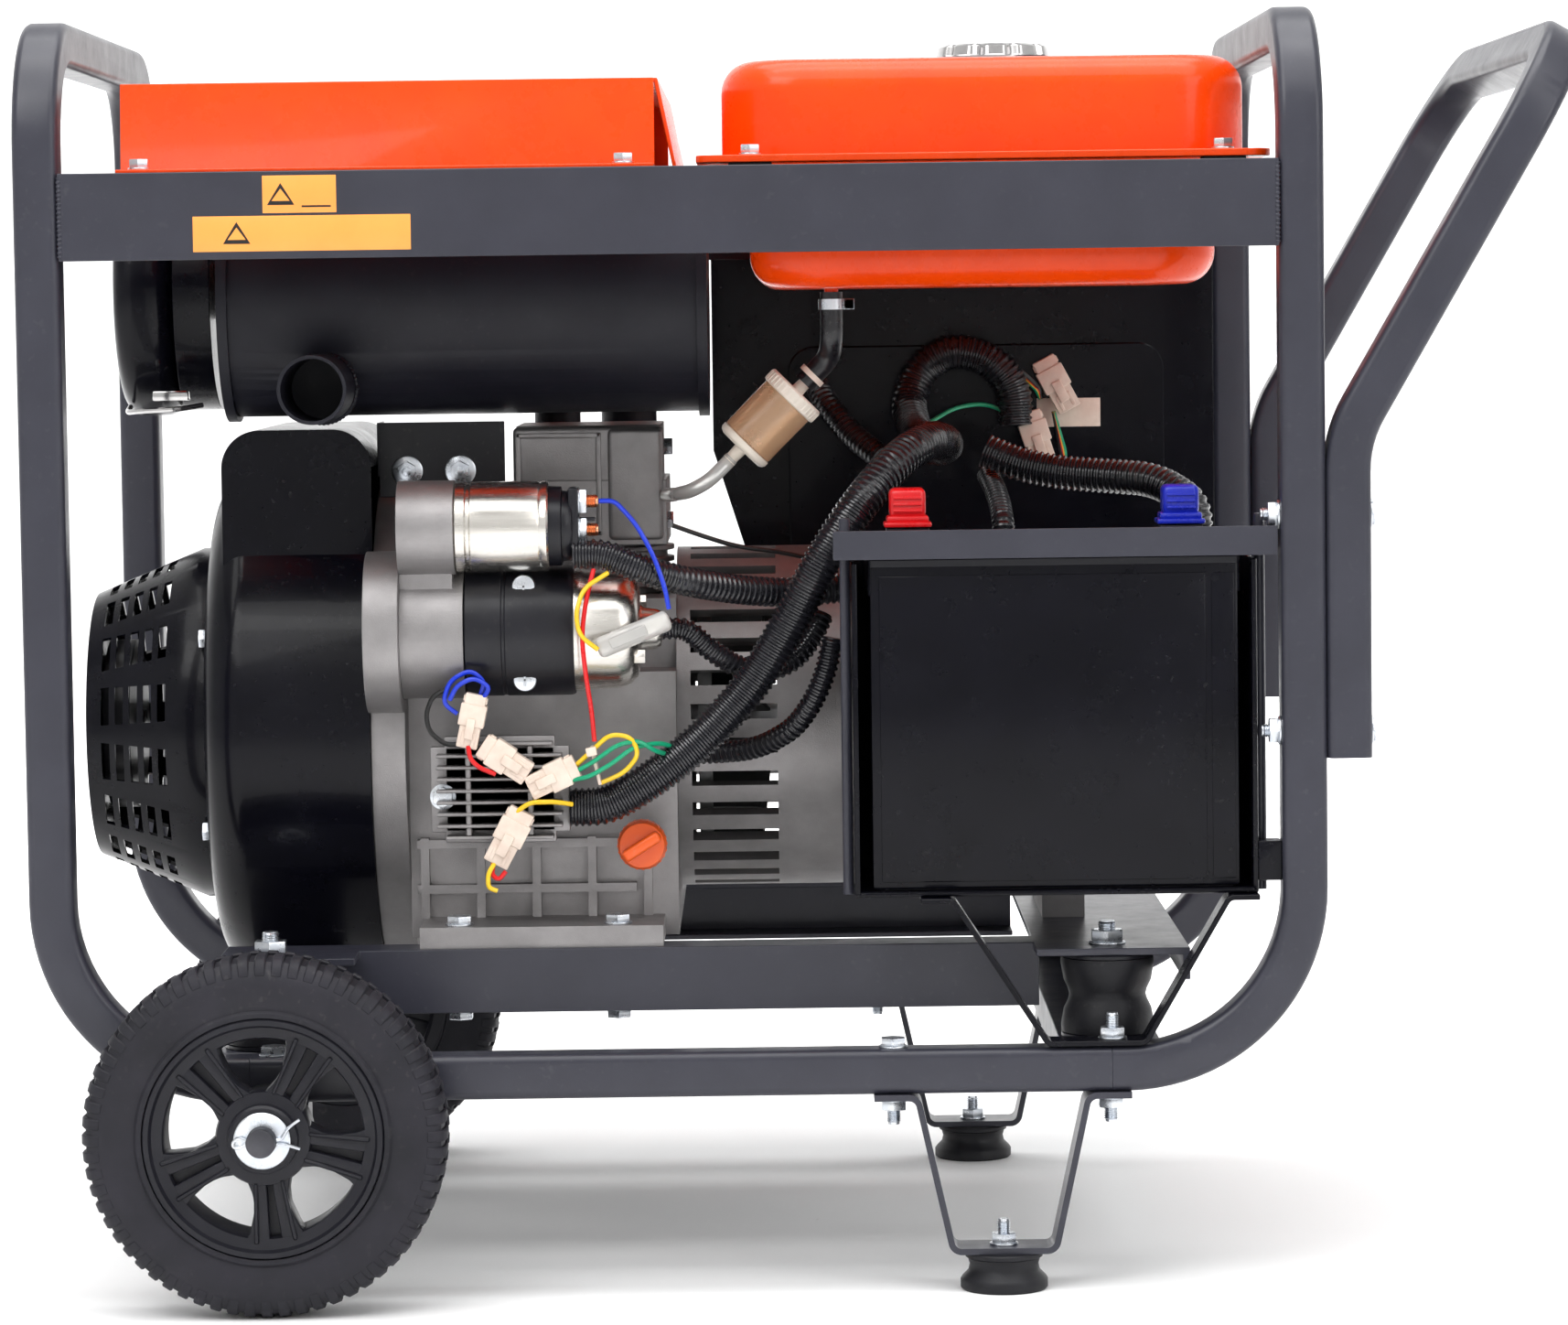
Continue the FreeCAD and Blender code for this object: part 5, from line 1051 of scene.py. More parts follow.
@dataclass
class Harness:
    """Corrugated conduits, their loose wires and the connectors."""

    groove: float = 1.1
    pitch: float = 3.6

    def conduits(self) -> None:
        """Ribbed tubes along the routes of the harness."""
        form = Form()
        for run in CONDUITS:
            form.tube(list(run.route), run.radius, 24, ridge=self.groove, pitch=self.pitch)
        form.piece("ribbed_conduits", "root", CONDUIT, ("conduits",), 40)

    def plug(self, form: Form, plug: Plug) -> None:
        """Add a connector: body, wide collar, latch, ribs and cable seals.

        Args:
            form: the form that it is added to.
            plug: its place, size and lean.
        """
        x, y, z = plug.middle
        half, reach = plug.wide / 2, plug.long / 2
        new = Form()
        new.block((x - half, y - 4.5, z - reach), (x + half, y + 4.5, z + reach), 0.9)
        new.block((x - half - 1.4, y - 5.5, z - reach * 0.2),
                  (x + half + 1.4, y + 5.5, z + reach * 0.62), 0.9)
        new.block((x - half * 0.4, y - 6.8, z - reach * 0.66),
                  (x + half * 0.4, y - 4.2, z + reach * 0.1), 0.5)
        for k in (-1, 1):
            new.block((x + k * half * 0.5 - 1.1, y - 5.1, z - reach * 0.92),
                      (x + k * half * 0.5 + 1.1, y - 4.2, z - reach * 0.4), 0.3)
            new.block((x + k * half - 0.8, y - 3, z + reach * 0.68),
                      (x + k * half + 0.8, y + 3, z + reach * 0.9), 0.3)
        new.turned(plug.lean, Axis.Y, plug.middle)
        form.join(new)

    def wires(self) -> None:
        """Coloured wires between the connectors, the starter and the conduits."""
        routes: dict[str, tuple[Finish, list[list[tuple]]]] = {
            "blue_wires": (BLUE_WIRE, [
                [(-42.8, -178, 440.5), (-34, -178, 440.5), (-22, -186, 428), (-12, -192, 410),
                 (-6, -194, 392), (-4, -193, 380)],
                [(-111.1, -184, 331.5), (-108, -186, 340), (-116, -186, 347),
                 (-128, -186, 341), (-132, -184, 328), (-124, -184, 322)],
                [(-109, -187, 331), (-105, -189, 337), (-114, -189, 343), (-124, -188, 338),
                 (-128, -186, 330)]]),
            "red_wires": (RED_WIRE, [
                [(-46, -186, 402.3), (-50, -194, 387), (-53, -198, 366), (-51, -197, 344),
                 (-48, -192, 322), (-47, -188, 306)],
                [(-118, -188, 304), (-117, -190, 297), (-112, -190, 292), (-103, -188, 288)],
                [(-105, -186, 238), (-106, -187, 231), (-102, -187, 228), (-98, -187, 233)]]),
            "yellow_wires": (YELLOW_WIRE, [
                [(-38, -186, 400.4), (-52, -194, 392), (-56, -199, 378), (-54, -199, 366),
                 (-44, -196, 358)],
                [(-58.7, -184, 291.2), (-49, -187, 300), (-38, -189, 310), (-26, -189, 308),
                 (-22, -188, 298), (-30, -187, 288), (-44, -186, 282)],
                [(-92, -187, 266), (-84, -190, 272), (-70, -188, 272), (-60, -184, 270)],
                [(-104, -187, 238), (-108, -189, 232), (-108, -189, 224), (-103, -188, 222)]]),
            "green_wires": (GREEN_WIRE, [
                [(-59, -186, 288), (-48, -189, 294), (-34, -190, 304), (-22, -188, 306),
                 (-14, -184, 300), (-6, -168, 296)],
                [(-60, -187, 284), (-50, -190, 286), (-36, -190, 294), (-26, -189, 302),
                 (-10, -178, 304), (0, -160, 298)],
                [(152, 140, 474), (170, 152, 484), (190, 156, 486), (212, 158, 474)]]),
            "black_wires": (BLACK_WIRE, [
                [(-120, -184, 306), (-130, -184, 304), (-140, -184, 312), (-142, -182, 322),
                 (-138, -180, 332), (-130, -182, 336)],
                [(-2, -150, 425), (14, -148, 419), (34, -140, 412), (60, -130, 408),
                 (84, -124, 402)]])}
        form = Form()
        for name, (finish, paths) in routes.items():
            form = Form()
            for path in paths:
                form.tube(path, 1.35, 10, 1.5)
            form.piece(name, "root", finish)

    def panel_wires(self) -> None:
        """Short leads from the loom into the two connectors on the panel."""
        for k, finish in enumerate((GREEN_WIRE, YELLOW_WIRE, RED_WIRE, BLACK_WIRE)):
            form = Form()
            form.tube([(194 + 2 * k, 156, 498 - 3 * k), (206, 158, 494 - 4 * k),
                       (214 + k, 160, 484 - 3 * k), (216, 157, 470)], 1.3, 10, 1.5)
            form.tube([(202 + 3 * k, 158, 506), (212 + 2 * k, 164, 503 - k),
                       (221 + k, 170, 494), (224, 171, 488)], 1.3, 10, 1.5)
            form.tube([(226 + 2 * k, 157, 446), (230 + 2 * k, 160, 438),
                       (236 + 2 * k, 166, 440), (240 - k, 172, 452), (232, 172, 480)],
                      1.3, 10, 1.5)
            form.piece(f"panel_leads_{k + 1}", "root", finish)

    def build(self) -> None:
        """Make the whole harness."""
        self.conduits()
        form = Form()
        for plug in PLUGS:
            self.plug(form, plug)
        form.piece("nylon_plugs", "root", NYLON, ("harness_leads",))
        x, y, z = SLEEVE.middle
        form = Form().block((x - 6, y - 4.5, z - 22), (x + 6, y + 4.5, z + 22), 3.4, 3)
        form.block((x - 3, y - 5.4, z - 14), (x + 3, y - 4, z + 8), 0.6)
        form.turned(SLEEVE.lean, Axis.Y, SLEEVE.middle)
        form.piece("clear_sleeve", "root", CLEAR)
        self.wires()
        self.panel_wires()
        form = Form().block((-47.5, -188, 281), (-45.5, -177, 303), 0.5)
        form.block((-50, -191, 298), (-44, -186, 303), 0.6).turned(-12, Axis.Y, (-46, 0, 292))
        form.piece("cable_tie", "root", NYLON)


# ---------------------------------------------------------------- engine dress


@dataclass
class Starter:
    """Starter motor with its screws and end cap, and the solenoid with its studs."""

    y: float = -150.0
    z: float = 366.5
    top_y: float = -172.0
    top_z: float = 426.5

    def motor(self) -> None:
        """Black motor body with two screws, and a polished end cap."""
        centre = (0, self.y, self.z)
        Form().lathe(Axis.X, centre, [
            (-120, 0), (-120, 35.5), (-119, 37), (-99, 37), (-98.4, 36.4), (-97, 36.4),
            (-96.4, 37), (-60, 37), (-58, 36), (-58, 0)], 96).piece(
                "starter_body", "root", PLASTIC, ("starter_motor",))
        cap = Form().lathe(Axis.X, centre, [
            (-58, 0), (-58, 35), (-54, 35.2), (-52, 34), (-34, 33.6), (-27, 31.5), (-22.5, 27),
            (-21, 21), (-21, 14), (-19, 12.5), (-12, 11.5), (-9.5, 10), (-9, 8), (-9, 0)], 96)
        for turn in (35, 215):
            a = math.radians(turn)
            cap.drum(Axis.X, (-26, -18), (0, self.y + 25 * math.cos(a),
                                          self.z + 25 * math.sin(a)), 4.2, segments=6,
                     bevel=0.5)
        cap.piece("starter_end_cap", "root", SOLENOID)
        screws = Form()
        for turn in (-46, 46):
            a = math.radians(turn)
            place = Vector((-86, self.y - 36.6 * math.cos(a), self.z + 36.6 * math.sin(a)))
            new = Form().lathe(Axis.Y, (place.x, 0, place.z), [
                (-1.9, 0), (-1.9, 4.4), (-1.3, 6.2), (0, 6.8), (1.4, 6.8), (1.4, 0)], 32)
            for across in ((3.6, 0.7), (0.7, 3.6)):
                new.block((place.x - across[0], -2.3, place.z - across[1]),
                          (place.x + across[0], -1.7, place.z + across[1]), 0.15, 1)
            bmesh.ops.translate(new.mesh, vec=(0, place.y, 0), verts=new.mesh.verts)
            screws.join(new)
        screws.piece("starter_screws", "root", ZINC)

    def solenoid(self) -> None:
        """Bright can, black cap with ribs, two studs and their nuts."""
        centre = (0, self.top_y, self.top_z)
        Form().lathe(Axis.X, centre, [
            (-124, 0), (-124, 24.3), (-123, 25.5), (-118, 25.5), (-117, 24.6), (-115.5, 24.6),
            (-114.5, 25.5), (-77, 25.5), (-76, 24.8), (-74.6, 25.5), (-72, 25.5), (-71, 24.5),
            (-71, 0)], 96).piece("solenoid_can", "root", SOLENOID, ("starter_solenoid",))
        cap = Form().lathe(Axis.X, centre, [
            (-71, 0), (-71, 22.5), (-64, 22.3), (-63.4, 20), (-60, 19.5), (-58, 18), (-58, 0)],
            64)
        cap.block((-60, self.top_y - 15, self.top_z - 12),
                  (-54, self.top_y + 5, self.top_z + 22), 1.6)
        cap.block((-58, self.top_y - 9, self.top_z + 3),
                  (-45, self.top_y - 3, self.top_z + 5), 0.5)
        cap.piece("solenoid_cap", "root", PLASTIC)
        studs, nuts = Form(), Form()
        for rise in (-2, 14):
            place = (0, self.top_y - 6, self.top_z + rise)
            threads = [(-58, 0.1), (-58, 3.9)]
            threads += [(-57.4 + 0.6 * k, 3.9 if k % 2 else 3.3) for k in range(23)]
            threads += [(-43.2, 3.0), (-43.2, 0.1)]
            studs.lathe(Axis.X, place, threads, 20)
            nuts.drum(Axis.X, (-53.6, -49.5), place, 7.4, segments=6, bevel=0.6)
            nuts.drum(Axis.X, (-54.6, -53.6), place, 7.8, segments=32, bevel=0.3)
        nuts.block((-55.5, self.top_y - 10, self.top_z + 8),
                   (-54.6, self.top_y - 1, self.top_z + 22), 0.3)
        studs.piece("solenoid_studs", "root", COPPER)
        nuts.piece("solenoid_nuts", "root", ZINC)

    def build(self) -> None:
        """Make the starter and the solenoid."""
        self.motor()
        self.solenoid()


@dataclass
class FuelLine:
    """Sediment filter between the tank nipple and the injection pump, with its hoses."""

    low: tuple[float, float, float] = (37.0, -120.0, 467.0)
    length: float = 46.7
    lean: float = 45.0
    nipple: tuple[float, float, float] = (90.0, -130.0, 544.0)

    def filter(self) -> None:
        """Tan bowl between two pale caps, drawn upright and then leaned."""
        x, y, z = self.low
        high = z + self.length
        bowl = Form().lathe(Axis.Z, self.low, [
            (z + 5, 0), (z + 5, 15.5), (z + 6, 16.6), (high - 8, 16.8), (high - 8, 0)], 64)
        bowl.turned(self.lean, Axis.Y, self.low)
        bowl.piece("filter_bowl", "root", FILTER_BOWL, ("fuel_filter",))
        caps = Form().lathe(Axis.Z, self.low, [
            (z - 12, 0.1), (z - 12, 3.6), (z - 9, 4.2), (z - 8, 3.6), (z, 4), (z, 14),
            (z + 1, 16), (z + 2.5, 17), (z + 5, 17), (z + 5.4, 16), (z + 5.4, 0.1)], 64)
        caps.lathe(Axis.Z, self.low, [
            (high - 8.2, 0.1), (high - 8.2, 17), (high - 7.6, 18.5), (high - 1, 18.5),
            (high, 17.6), (high, 4), (high + 8, 3.6), (high + 9, 4.2), (high + 12, 3.6),
            (high + 12, 0.1)], 64)
        for k in range(36):
            a = FULL_TURN * k / 36
            caps.block((x + 18.2 * math.cos(a) - 0.5, y + 18.2 * math.sin(a) - 0.5, high - 7),
                       (x + 18.2 * math.cos(a) + 0.5, y + 18.2 * math.sin(a) + 0.5, high - 1.5))
        caps.turned(self.lean, Axis.Y, self.low)
        caps.piece("filter_caps", "root", FILTER_CAP)

    def build(self) -> None:
        """Make the filter, both hoses, the spring clamp and the hose ring."""
        self.filter()
        nx, ny, nz = self.nipple
        top = (78.5, -120, 508.5)
        Form().tube([(nx, ny, nz + 12), (nx, ny, nz - 15), (88.4, -120, 518.4), (74, -120, 504)],
                    6.5, 20, 2).piece("feed_hose", "root", HOSE, ("fuel_hoses",))
        Form().tube([(32, -120, 462), (19.3, -120, 449.3), (8, -112, 443), (1, -96, 441),
                     (0, -78, 440), (-7, -62, 439)], 4.2, 16, 2).piece(
                         "supply_hose", "root", CLEAR)
        clamps = Form()
        for place, spread in (((nx, ny, nz + 5), 8.0), ((nx, ny, nz + 5), 8.0)):
            clamps.lathe(Axis.Z, place, [(place[2] - 3, 6.7), (place[2] - 3, 7.5),
                                         (place[2] + 3, 7.5), (place[2] + 3, 6.7)], 40)
            for side in (-1, 1):
                clamps.block((nx + spread - 1, ny + 3 * side - 1, nz + 2),
                             (nx + spread + 5, ny + 3 * side, nz + 8), 0.3)
        clamps.piece("hose_clamps", "root", ZINC)
        Form().lathe(Axis.Z, top, [(top[2] - 1.6, 6.8), (top[2] - 1.6, 8.0), (top[2] + 1.6, 8.0),
                                   (top[2] + 1.6, 6.8)], 32).turned(
                                       self.lean, Axis.Y, top).piece(
                                           "hose_ring", "root", NYLON)


@dataclass
class TankCap:
    """Chrome filler cap with finger scallops, and the level gauge button."""

    centre: tuple[float, float] = (189.0, 0.0)
    seat: float = 690.3
    height: float = 11.0
    radius: float = 35.0
    scallops: int = 10

    def build(self) -> None:
        """Make the cap on its own body."""
        place = (*self.centre, 0)
        form = Form()
        form.lathe(Axis.Z, place, [
            (self.seat, 0.1), (self.seat, self.radius - 1), (self.seat + 0.8, self.radius),
            (self.seat + 3.2, self.radius), (self.seat + 4, self.radius - 1.2),
            (self.seat + self.height - 2, self.radius - 2.4),
            (self.seat + self.height - 0.6, self.radius - 5),
            (self.seat + self.height - 0.4, 21), (self.seat + self.height - 1.6, 18),
            (self.seat + self.height - 1.6, 0.1)], 160)
        for vert in form.mesh.verts:
            away = Vector((vert.co.x - place[0], vert.co.y - place[1]))
            if vert.co.z > self.seat + 3.8 and away.length > 24:
                wave = math.cos(self.scallops * math.atan2(away.y, away.x))
                shrink = 1 - 0.10 * max(0.0, wave) ** 2
                vert.co.x, vert.co.y = (Vector(place[:2]) + away * shrink)
        form.block((place[0] - 15, -3, self.seat + self.height - 2),
                   (place[0] + 15, 3, self.seat + self.height - 0.05), 1.2)
        form.piece("scalloped_cap", "fuel_cap", CHROME, ("fuel_cap",))
        Form().lathe(Axis.Z, (134, 0, 0), [
            (686, 0.1), (686, 9), (688, 9), (688.6, 6.5), (692.4, 6.2), (692.9, 5), (692.9, 0.1)],
            48).piece("gauge_button", "root", CHROME)


@dataclass
class TerminalBoot:
    """Moulded terminal cover: ribbed flap over a flanged skirt."""

    name: str
    x: float
    finish: Finish
    y: float = -182.0
    low: float = 423.8

    def build(self) -> None:
        """Make the boot on its own body."""
        form = Form()
        z, half = self.low, 13.4
        form.block((self.x - half, self.y - half, z + 0.1), (self.x + half, self.y + half, z + 3),
                   1.0)
        form.block((self.x - 11.8, self.y - 12, z + 2.6), (self.x + 11.8, self.y + 12, z + 6.5),
                   1.4)
        form.block((self.x - 10.2, self.y - 11, z + 5), (self.x + 10.2, self.y + 11, z + 21.9),
                   3.2, 3)
        for k in range(3):
            form.block((self.x - 8, self.y - 11.8, z + 8.5 + 3.6 * k),
                       (self.x + 8, self.y - 10.4, z + 10 + 3.6 * k), 0.5)
        form.piece(f"{self.name}_moulding", self.name, self.finish, (self.name,))


@dataclass
class Battery:
    """Black battery in its folded tray, with a framed front face."""

    left: float = 110.0
    right: float = 310.0
    front: float = -224.0
    bottom: float = 223.0
    top: float = 407.5

    def build(self) -> None:
        """Dress the battery and its tray."""
        skin("battery", 1.2)
        skin("battery_tray", 0.6)
        form = Form().block((self.left - 2, self.front - 3.2, self.bottom + 1),
                            (self.right + 2, self.front + 1, self.top - 3), 1.6)
        form.block((self.left + 3, self.front - 4.0, self.bottom + 5),
                   (self.right - 16, self.front - 2, self.top - 9), 0.9)
        form.block((self.right - 13, self.front - 3.8, self.bottom + 5),
                   (self.right, self.front - 2, self.top - 9), 0.9)
        form.piece("battery_front", "root", BLACK_GLOSS)
        lip = Form()
        for x in (98.0, 319.0):
            lip.block((x, self.front - 7.5, 221), (x + 3, self.front - 3.9, 406), 0.9)
        lip.block((98, self.front - 7.5, 220.2), (322, self.front - 3.9, 223), 0.9)
        lip.piece("tray_lips", "root", BLACK_GLOSS)


@dataclass
class Labels:
    """Blank warning and serial labels."""

    face: float = -240.0

    def build(self) -> None:
        """Two amber labels on the near top rail and a white one on the panel."""
        amber = Form().block((-261, self.face - 0.25, 582.2), (-141.5, self.face + 0.3, 601.6),
                             0.2)
        amber.block((-222.5, self.face - 0.25, 603), (-182, self.face + 0.3, 623.5), 0.2)
        amber.piece("amber_labels", "root", AMBER)
        marks = Form()
        for x, z, size_ in ((-212.5, 613.0, 7.5), (-237.0, 592.0, 7.5)):
            y = self.face - 0.35
            marks.outline([(x - size_, y, z - size_ * 0.75), (x + size_, y, z - size_ * 0.75),
                           (x, y, z + size_ * 0.85)], (0, 0.3, 0))
        marks.block((-201, self.face - 0.35, 606), (-185, self.face, 607), 0)
        marks.piece("label_marks", "root", BLACK_WIRE)
        inner = Form()
        for x, z, size_ in ((-212.5, 612.6, 5.0), (-237.0, 591.6, 5.0)):
            y = self.face - 0.4
            inner.outline([(x - size_, y, z - size_ * 0.6), (x + size_, y, z - size_ * 0.6),
                           (x, y, z + size_ * 0.75)], (0, 0.2, 0))
        inner.piece("label_fields", "root", AMBER)
        Form().block((222, 180.4, 470), (262, 181.1, 488), 0.15).piece(
            "serial_label", "root", NYLON)


@dataclass
class EngineFront:
    """Finned regulator, the cylinder's air tin with its bolts, and the rocker cover's face."""

    low: tuple[float, float, float] = (-141.0, -178.0, 247.0)
    high: tuple[float, float, float] = (-62.0, -160.0, 308.0)

    def regulator(self) -> None:
        """Round-cornered plate under level fins, with two bolted lugs."""
        (x0, y0, z0), (x1, y1, z1) = self.low, self.high
        form = Form().block((x0 + 0.1, y1 - 5.9, z0 + 6), (x1 - 0.1, y1, z1 - 6), 1.2)
        form.block((x0 + 8, y1 - 5.9, z0 + 0.2), (x1 - 8, y1, z1 - 0.2), 1.2)
        fins = 9
        for k in range(fins):
            z = z0 + 4 + (z1 - z0 - 8) * k / (fins - 1)
            inset = 9 if k in (0, fins - 1) else 4
            form.block((x0 + inset, y0 + 0.1, z - 0.9), (x1 - inset, y1 - 4, z + 0.9), 0.4, 1)
        for x in (x0 + 22, x1 - 22):
            form.block((x - 1.5, y0 + 1.5, z0 + 5), (x + 1.5, y1 - 4, z1 - 5), 0.5, 1)
        form.piece("regulator_fins", "root", CAST, ("regulator",))
        nuts = Form()
        nuts.drum(Axis.Y, (y1 - 11, y1 - 5.5), (x0 + 7, 0, (z0 + z1) / 2 - 4), 6.2, segments=6,
                  bevel=0.6)
        nuts.drum(Axis.Y, (y1 - 6.5, y1 - 5.4), (x0 + 7, 0, (z0 + z1) / 2 - 4), 7.4,
                  segments=32, bevel=0.2)
        nuts.piece("regulator_bolt", "root", ZINC)

    def tin(self) -> None:
        """Black sheet that steers the cooling air round the barrel, and two bolts."""
        form = Form().block((-155, -62, 412), (-101, -60.5, 483.5), 0.4, 1)
        form.block((-174.5, -62, 440), (-154, -60.5, 483.5), 0.4, 1)
        form.block((-175.5, -62, 452), (-174, -20, 483.5), 0.4, 1)
        form.piece("cylinder_tin", "root", PLASTIC)
        bolts = Form()
        for x in (-158.0, -127.0):
            bolts.lathe(Axis.Y, (x, 0, 455), [(-62, 0.1), (-62, 8.6), (-62.6, 9), (-63.4, 9),
                                               (-63.8, 8.4), (-63.8, 0.1)], 40)
            bolts.drum(Axis.Y, (-70, -63.6), (x, 0, 455), 6, segments=6, bevel=0.7)
            bolts.drum(Axis.Y, (-71.5, -69.5), (x, 0, 455), 2.8, segments=16, bevel=0.3)
        bolts.piece("tin_bolts", "root", ZINC)

    def cover_face(self) -> None:
        """Raised field and screws on the rocker cover's near face."""
        form = Form().block((-96.5, -57.7, 446), (-8.5, -49, 479.5), 3, 3)
        form.block((-41, -61, 413), (-9, -55, 478), 3, 3)
        for low, high in (((-95, 416), (-45, 419)), ((-95, 473), (-45, 476)),
                          ((-95, 416), (-92, 476)), ((-48, 416), (-45, 476))):
            form.block((low[0], -59.2, low[1]), (high[0], -56, high[1]), 0.8)
        form.piece("cover_field", "root", CAST)
        bolts = Form()
        for z in (424.0, 467.0):
            bolts.drum(Axis.X, (-9.5, -3.5), (0, -40, z), 5.5, segments=6, bevel=0.6)
        bolts.piece("cover_bolts", "root", ZINC)

    def build(self) -> None:
        """Make the regulator, the tin and the cover's face."""
        self.regulator()
        self.tin()
        self.cover_face()


@dataclass
class PanelFace:
    """Dial, knob scale, socket faces and terminal colours on the far-side panel."""

    face: float = 239.0
    row: float = 505.0
    knob_x: float = 118.0
    dial_x: float = 288.0
    sockets: tuple[tuple[float, float], ...] = ((118.0, 435.0), (188.0, 435.0))
    terminals: tuple[tuple[float, float], ...] = ((128.0, 375.0), (278.0, 375.0))

    def scale(self, centre: tuple[float, float], y: float, radii: tuple[float, float],
              count: int) -> Form:
        """Make short marks on three quarters of a circle, without figures.

        Args:
            centre: X and Z of the circle's middle.
            y: where the marks start.
            radii: inner and outer radius of the marks.
            count: number of marks.

        Returns:
            The form.
        """
        scale = Form()
        for k in range(count):
            one = Form().block((centre[0] - 0.5, y, centre[1] + radii[0]),
                               (centre[0] + 0.5, y + 0.25, centre[1] + radii[1]))
            one.turned(-135 + 270 * k / (count - 1), Axis.Y, (centre[0], 0, centre[1]))
            scale.join(one)
        return scale

    def dial(self) -> None:
        """Pale dial in a dark bezel, with marks and a needle at rest."""
        centre = (self.dial_x, 0, self.row)
        y = self.face + 9
        Form().lathe(Axis.Y, centre, [(y - 3, 22), (y - 1, 22), (y + 1.2, 19.5), (y + 1.2, 17.5),
                                      (y + 0.2, 17), (y - 0.5, 17)], 64).piece(
                                          "dial_bezel", "root", BLACK_GLOSS)
        Form().drum(Axis.Y, (y, y + 0.25), centre, 17.2, segments=64).piece(
            "dial_card", "root", DIAL)
        marks = self.scale((self.dial_x, self.row), y + 0.2, (11.5, 14.5), 13)
        needle = Form().block((self.dial_x - 0.5, y + 0.3, self.row - 2),
                              (self.dial_x + 0.5, y + 0.8, self.row + 12))
        needle.turned(-135, Axis.Y, centre)
        marks.join(needle)
        marks.piece("dial_marks", "root", BLACK_WIRE)

    def build(self) -> None:
        """Make the panel's small parts."""
        self.dial()
        self.scale((self.knob_x, self.row), self.face, (21, 25), 11).piece(
            "knob_scale", "root", DIAL)
        faces, hole_shade_discs = Form(), Form()
        for x, z in self.sockets:
            faces.drum(Axis.Y, (self.face + 3.9, self.face + 4.5), (x, 0, z), 19.6, segments=48)
            # Black discs on each socket face are painted shade standing in for the dark inside of
            # its three holes.
            for turn in (90, 210, 330):
                a = math.radians(turn)
                hole_shade_discs.drum(Axis.Y, (self.face + 4.4, self.face + 4.8),
                          (x + 9 * math.cos(a), 0, z + 9 * math.sin(a)), 2.6, segments=24)
        faces.piece("socket_faces", "root", BLUE_PLASTIC)
        hole_shade_discs.piece("socket_hole_shade", "root", BLACK_WIRE)
        for (x, z), name, finish in zip(self.terminals, ("left", "right"),
                                        (RED_PLASTIC, BLACK_GLOSS)):
            form = Form().lathe(Axis.Y, (x, 0, z), [
                (self.face + 7.9, 13.2), (self.face + 7.9, 19), (self.face + 9.6, 18),
                (self.face + 9.6, 13.2)], 48)
            form.drum(Axis.Y, (self.face + 25.9, self.face + 27.2), (x, 0, z), 11, segments=48,
                      bevel=0.5)
            form.piece(f"terminal_colour_{name}", "root", finish)


@dataclass
class Rubber:
    """Waisted feet and barrel-shaped engine mounts."""

    feet: tuple[tuple[float, float], ...] = ((178.5, -227.5), (178.5, 227.5))
    mounts: tuple[tuple[float, float], ...] = ((-231.0, -190.0), (-231.0, 190.0),
                                               (240.0, -190.0), (240.0, 190.0))

    def build(self) -> None:
        """Make the feet and the mounts."""
        form = Form()
        for x, y in self.feet:
            form.lathe(Axis.Z, (x, y, 0), [
                (0.02, 0.1), (0.02, 23.2), (1.2, 24.4), (5.5, 24.4), (7, 23.4), (10.5, 20),
                (14, 19.2), (17.5, 20.2), (18.3, 21.6), (20.3, 21.6), (20.95, 21), (20.95, 0.1)],
                64)
        form.piece("foot_mouldings", "root", RUBBER, ("foot_rubbers",))
        form, plates = Form(), Form()
        for x, y in self.mounts:
            form.lathe(Axis.Z, (x, y, 0), [
                (139, 0.1), (139, 26), (143, 26.3), (152, 24.6), (157, 22.2), (160, 21.4),
                (163, 22.2), (168, 24.6), (178, 26.3), (181, 26), (181, 0.1)], 64)
            for low in (136, 181):
                plates.lathe(Axis.Z, (x, y, 0), [
                    (low + 0.05, 0.1), (low + 0.05, 25), (low + 0.6, 26.3), (low + 2.3, 26.3),
                    (low + 2.95, 25), (low + 2.95, 0.1)], 64)
        for x in (45.0, 307.0):
            for y in (-210.0, 210.0):
                form.block((x - 12, y - 10, 626.1), (x + 12, y + 10, 627.9), 0.5)
        form.piece("mount_rubbers", "root", RUBBER, ("isolators",))
        plates.piece("mount_plates", "root", PLASTIC)


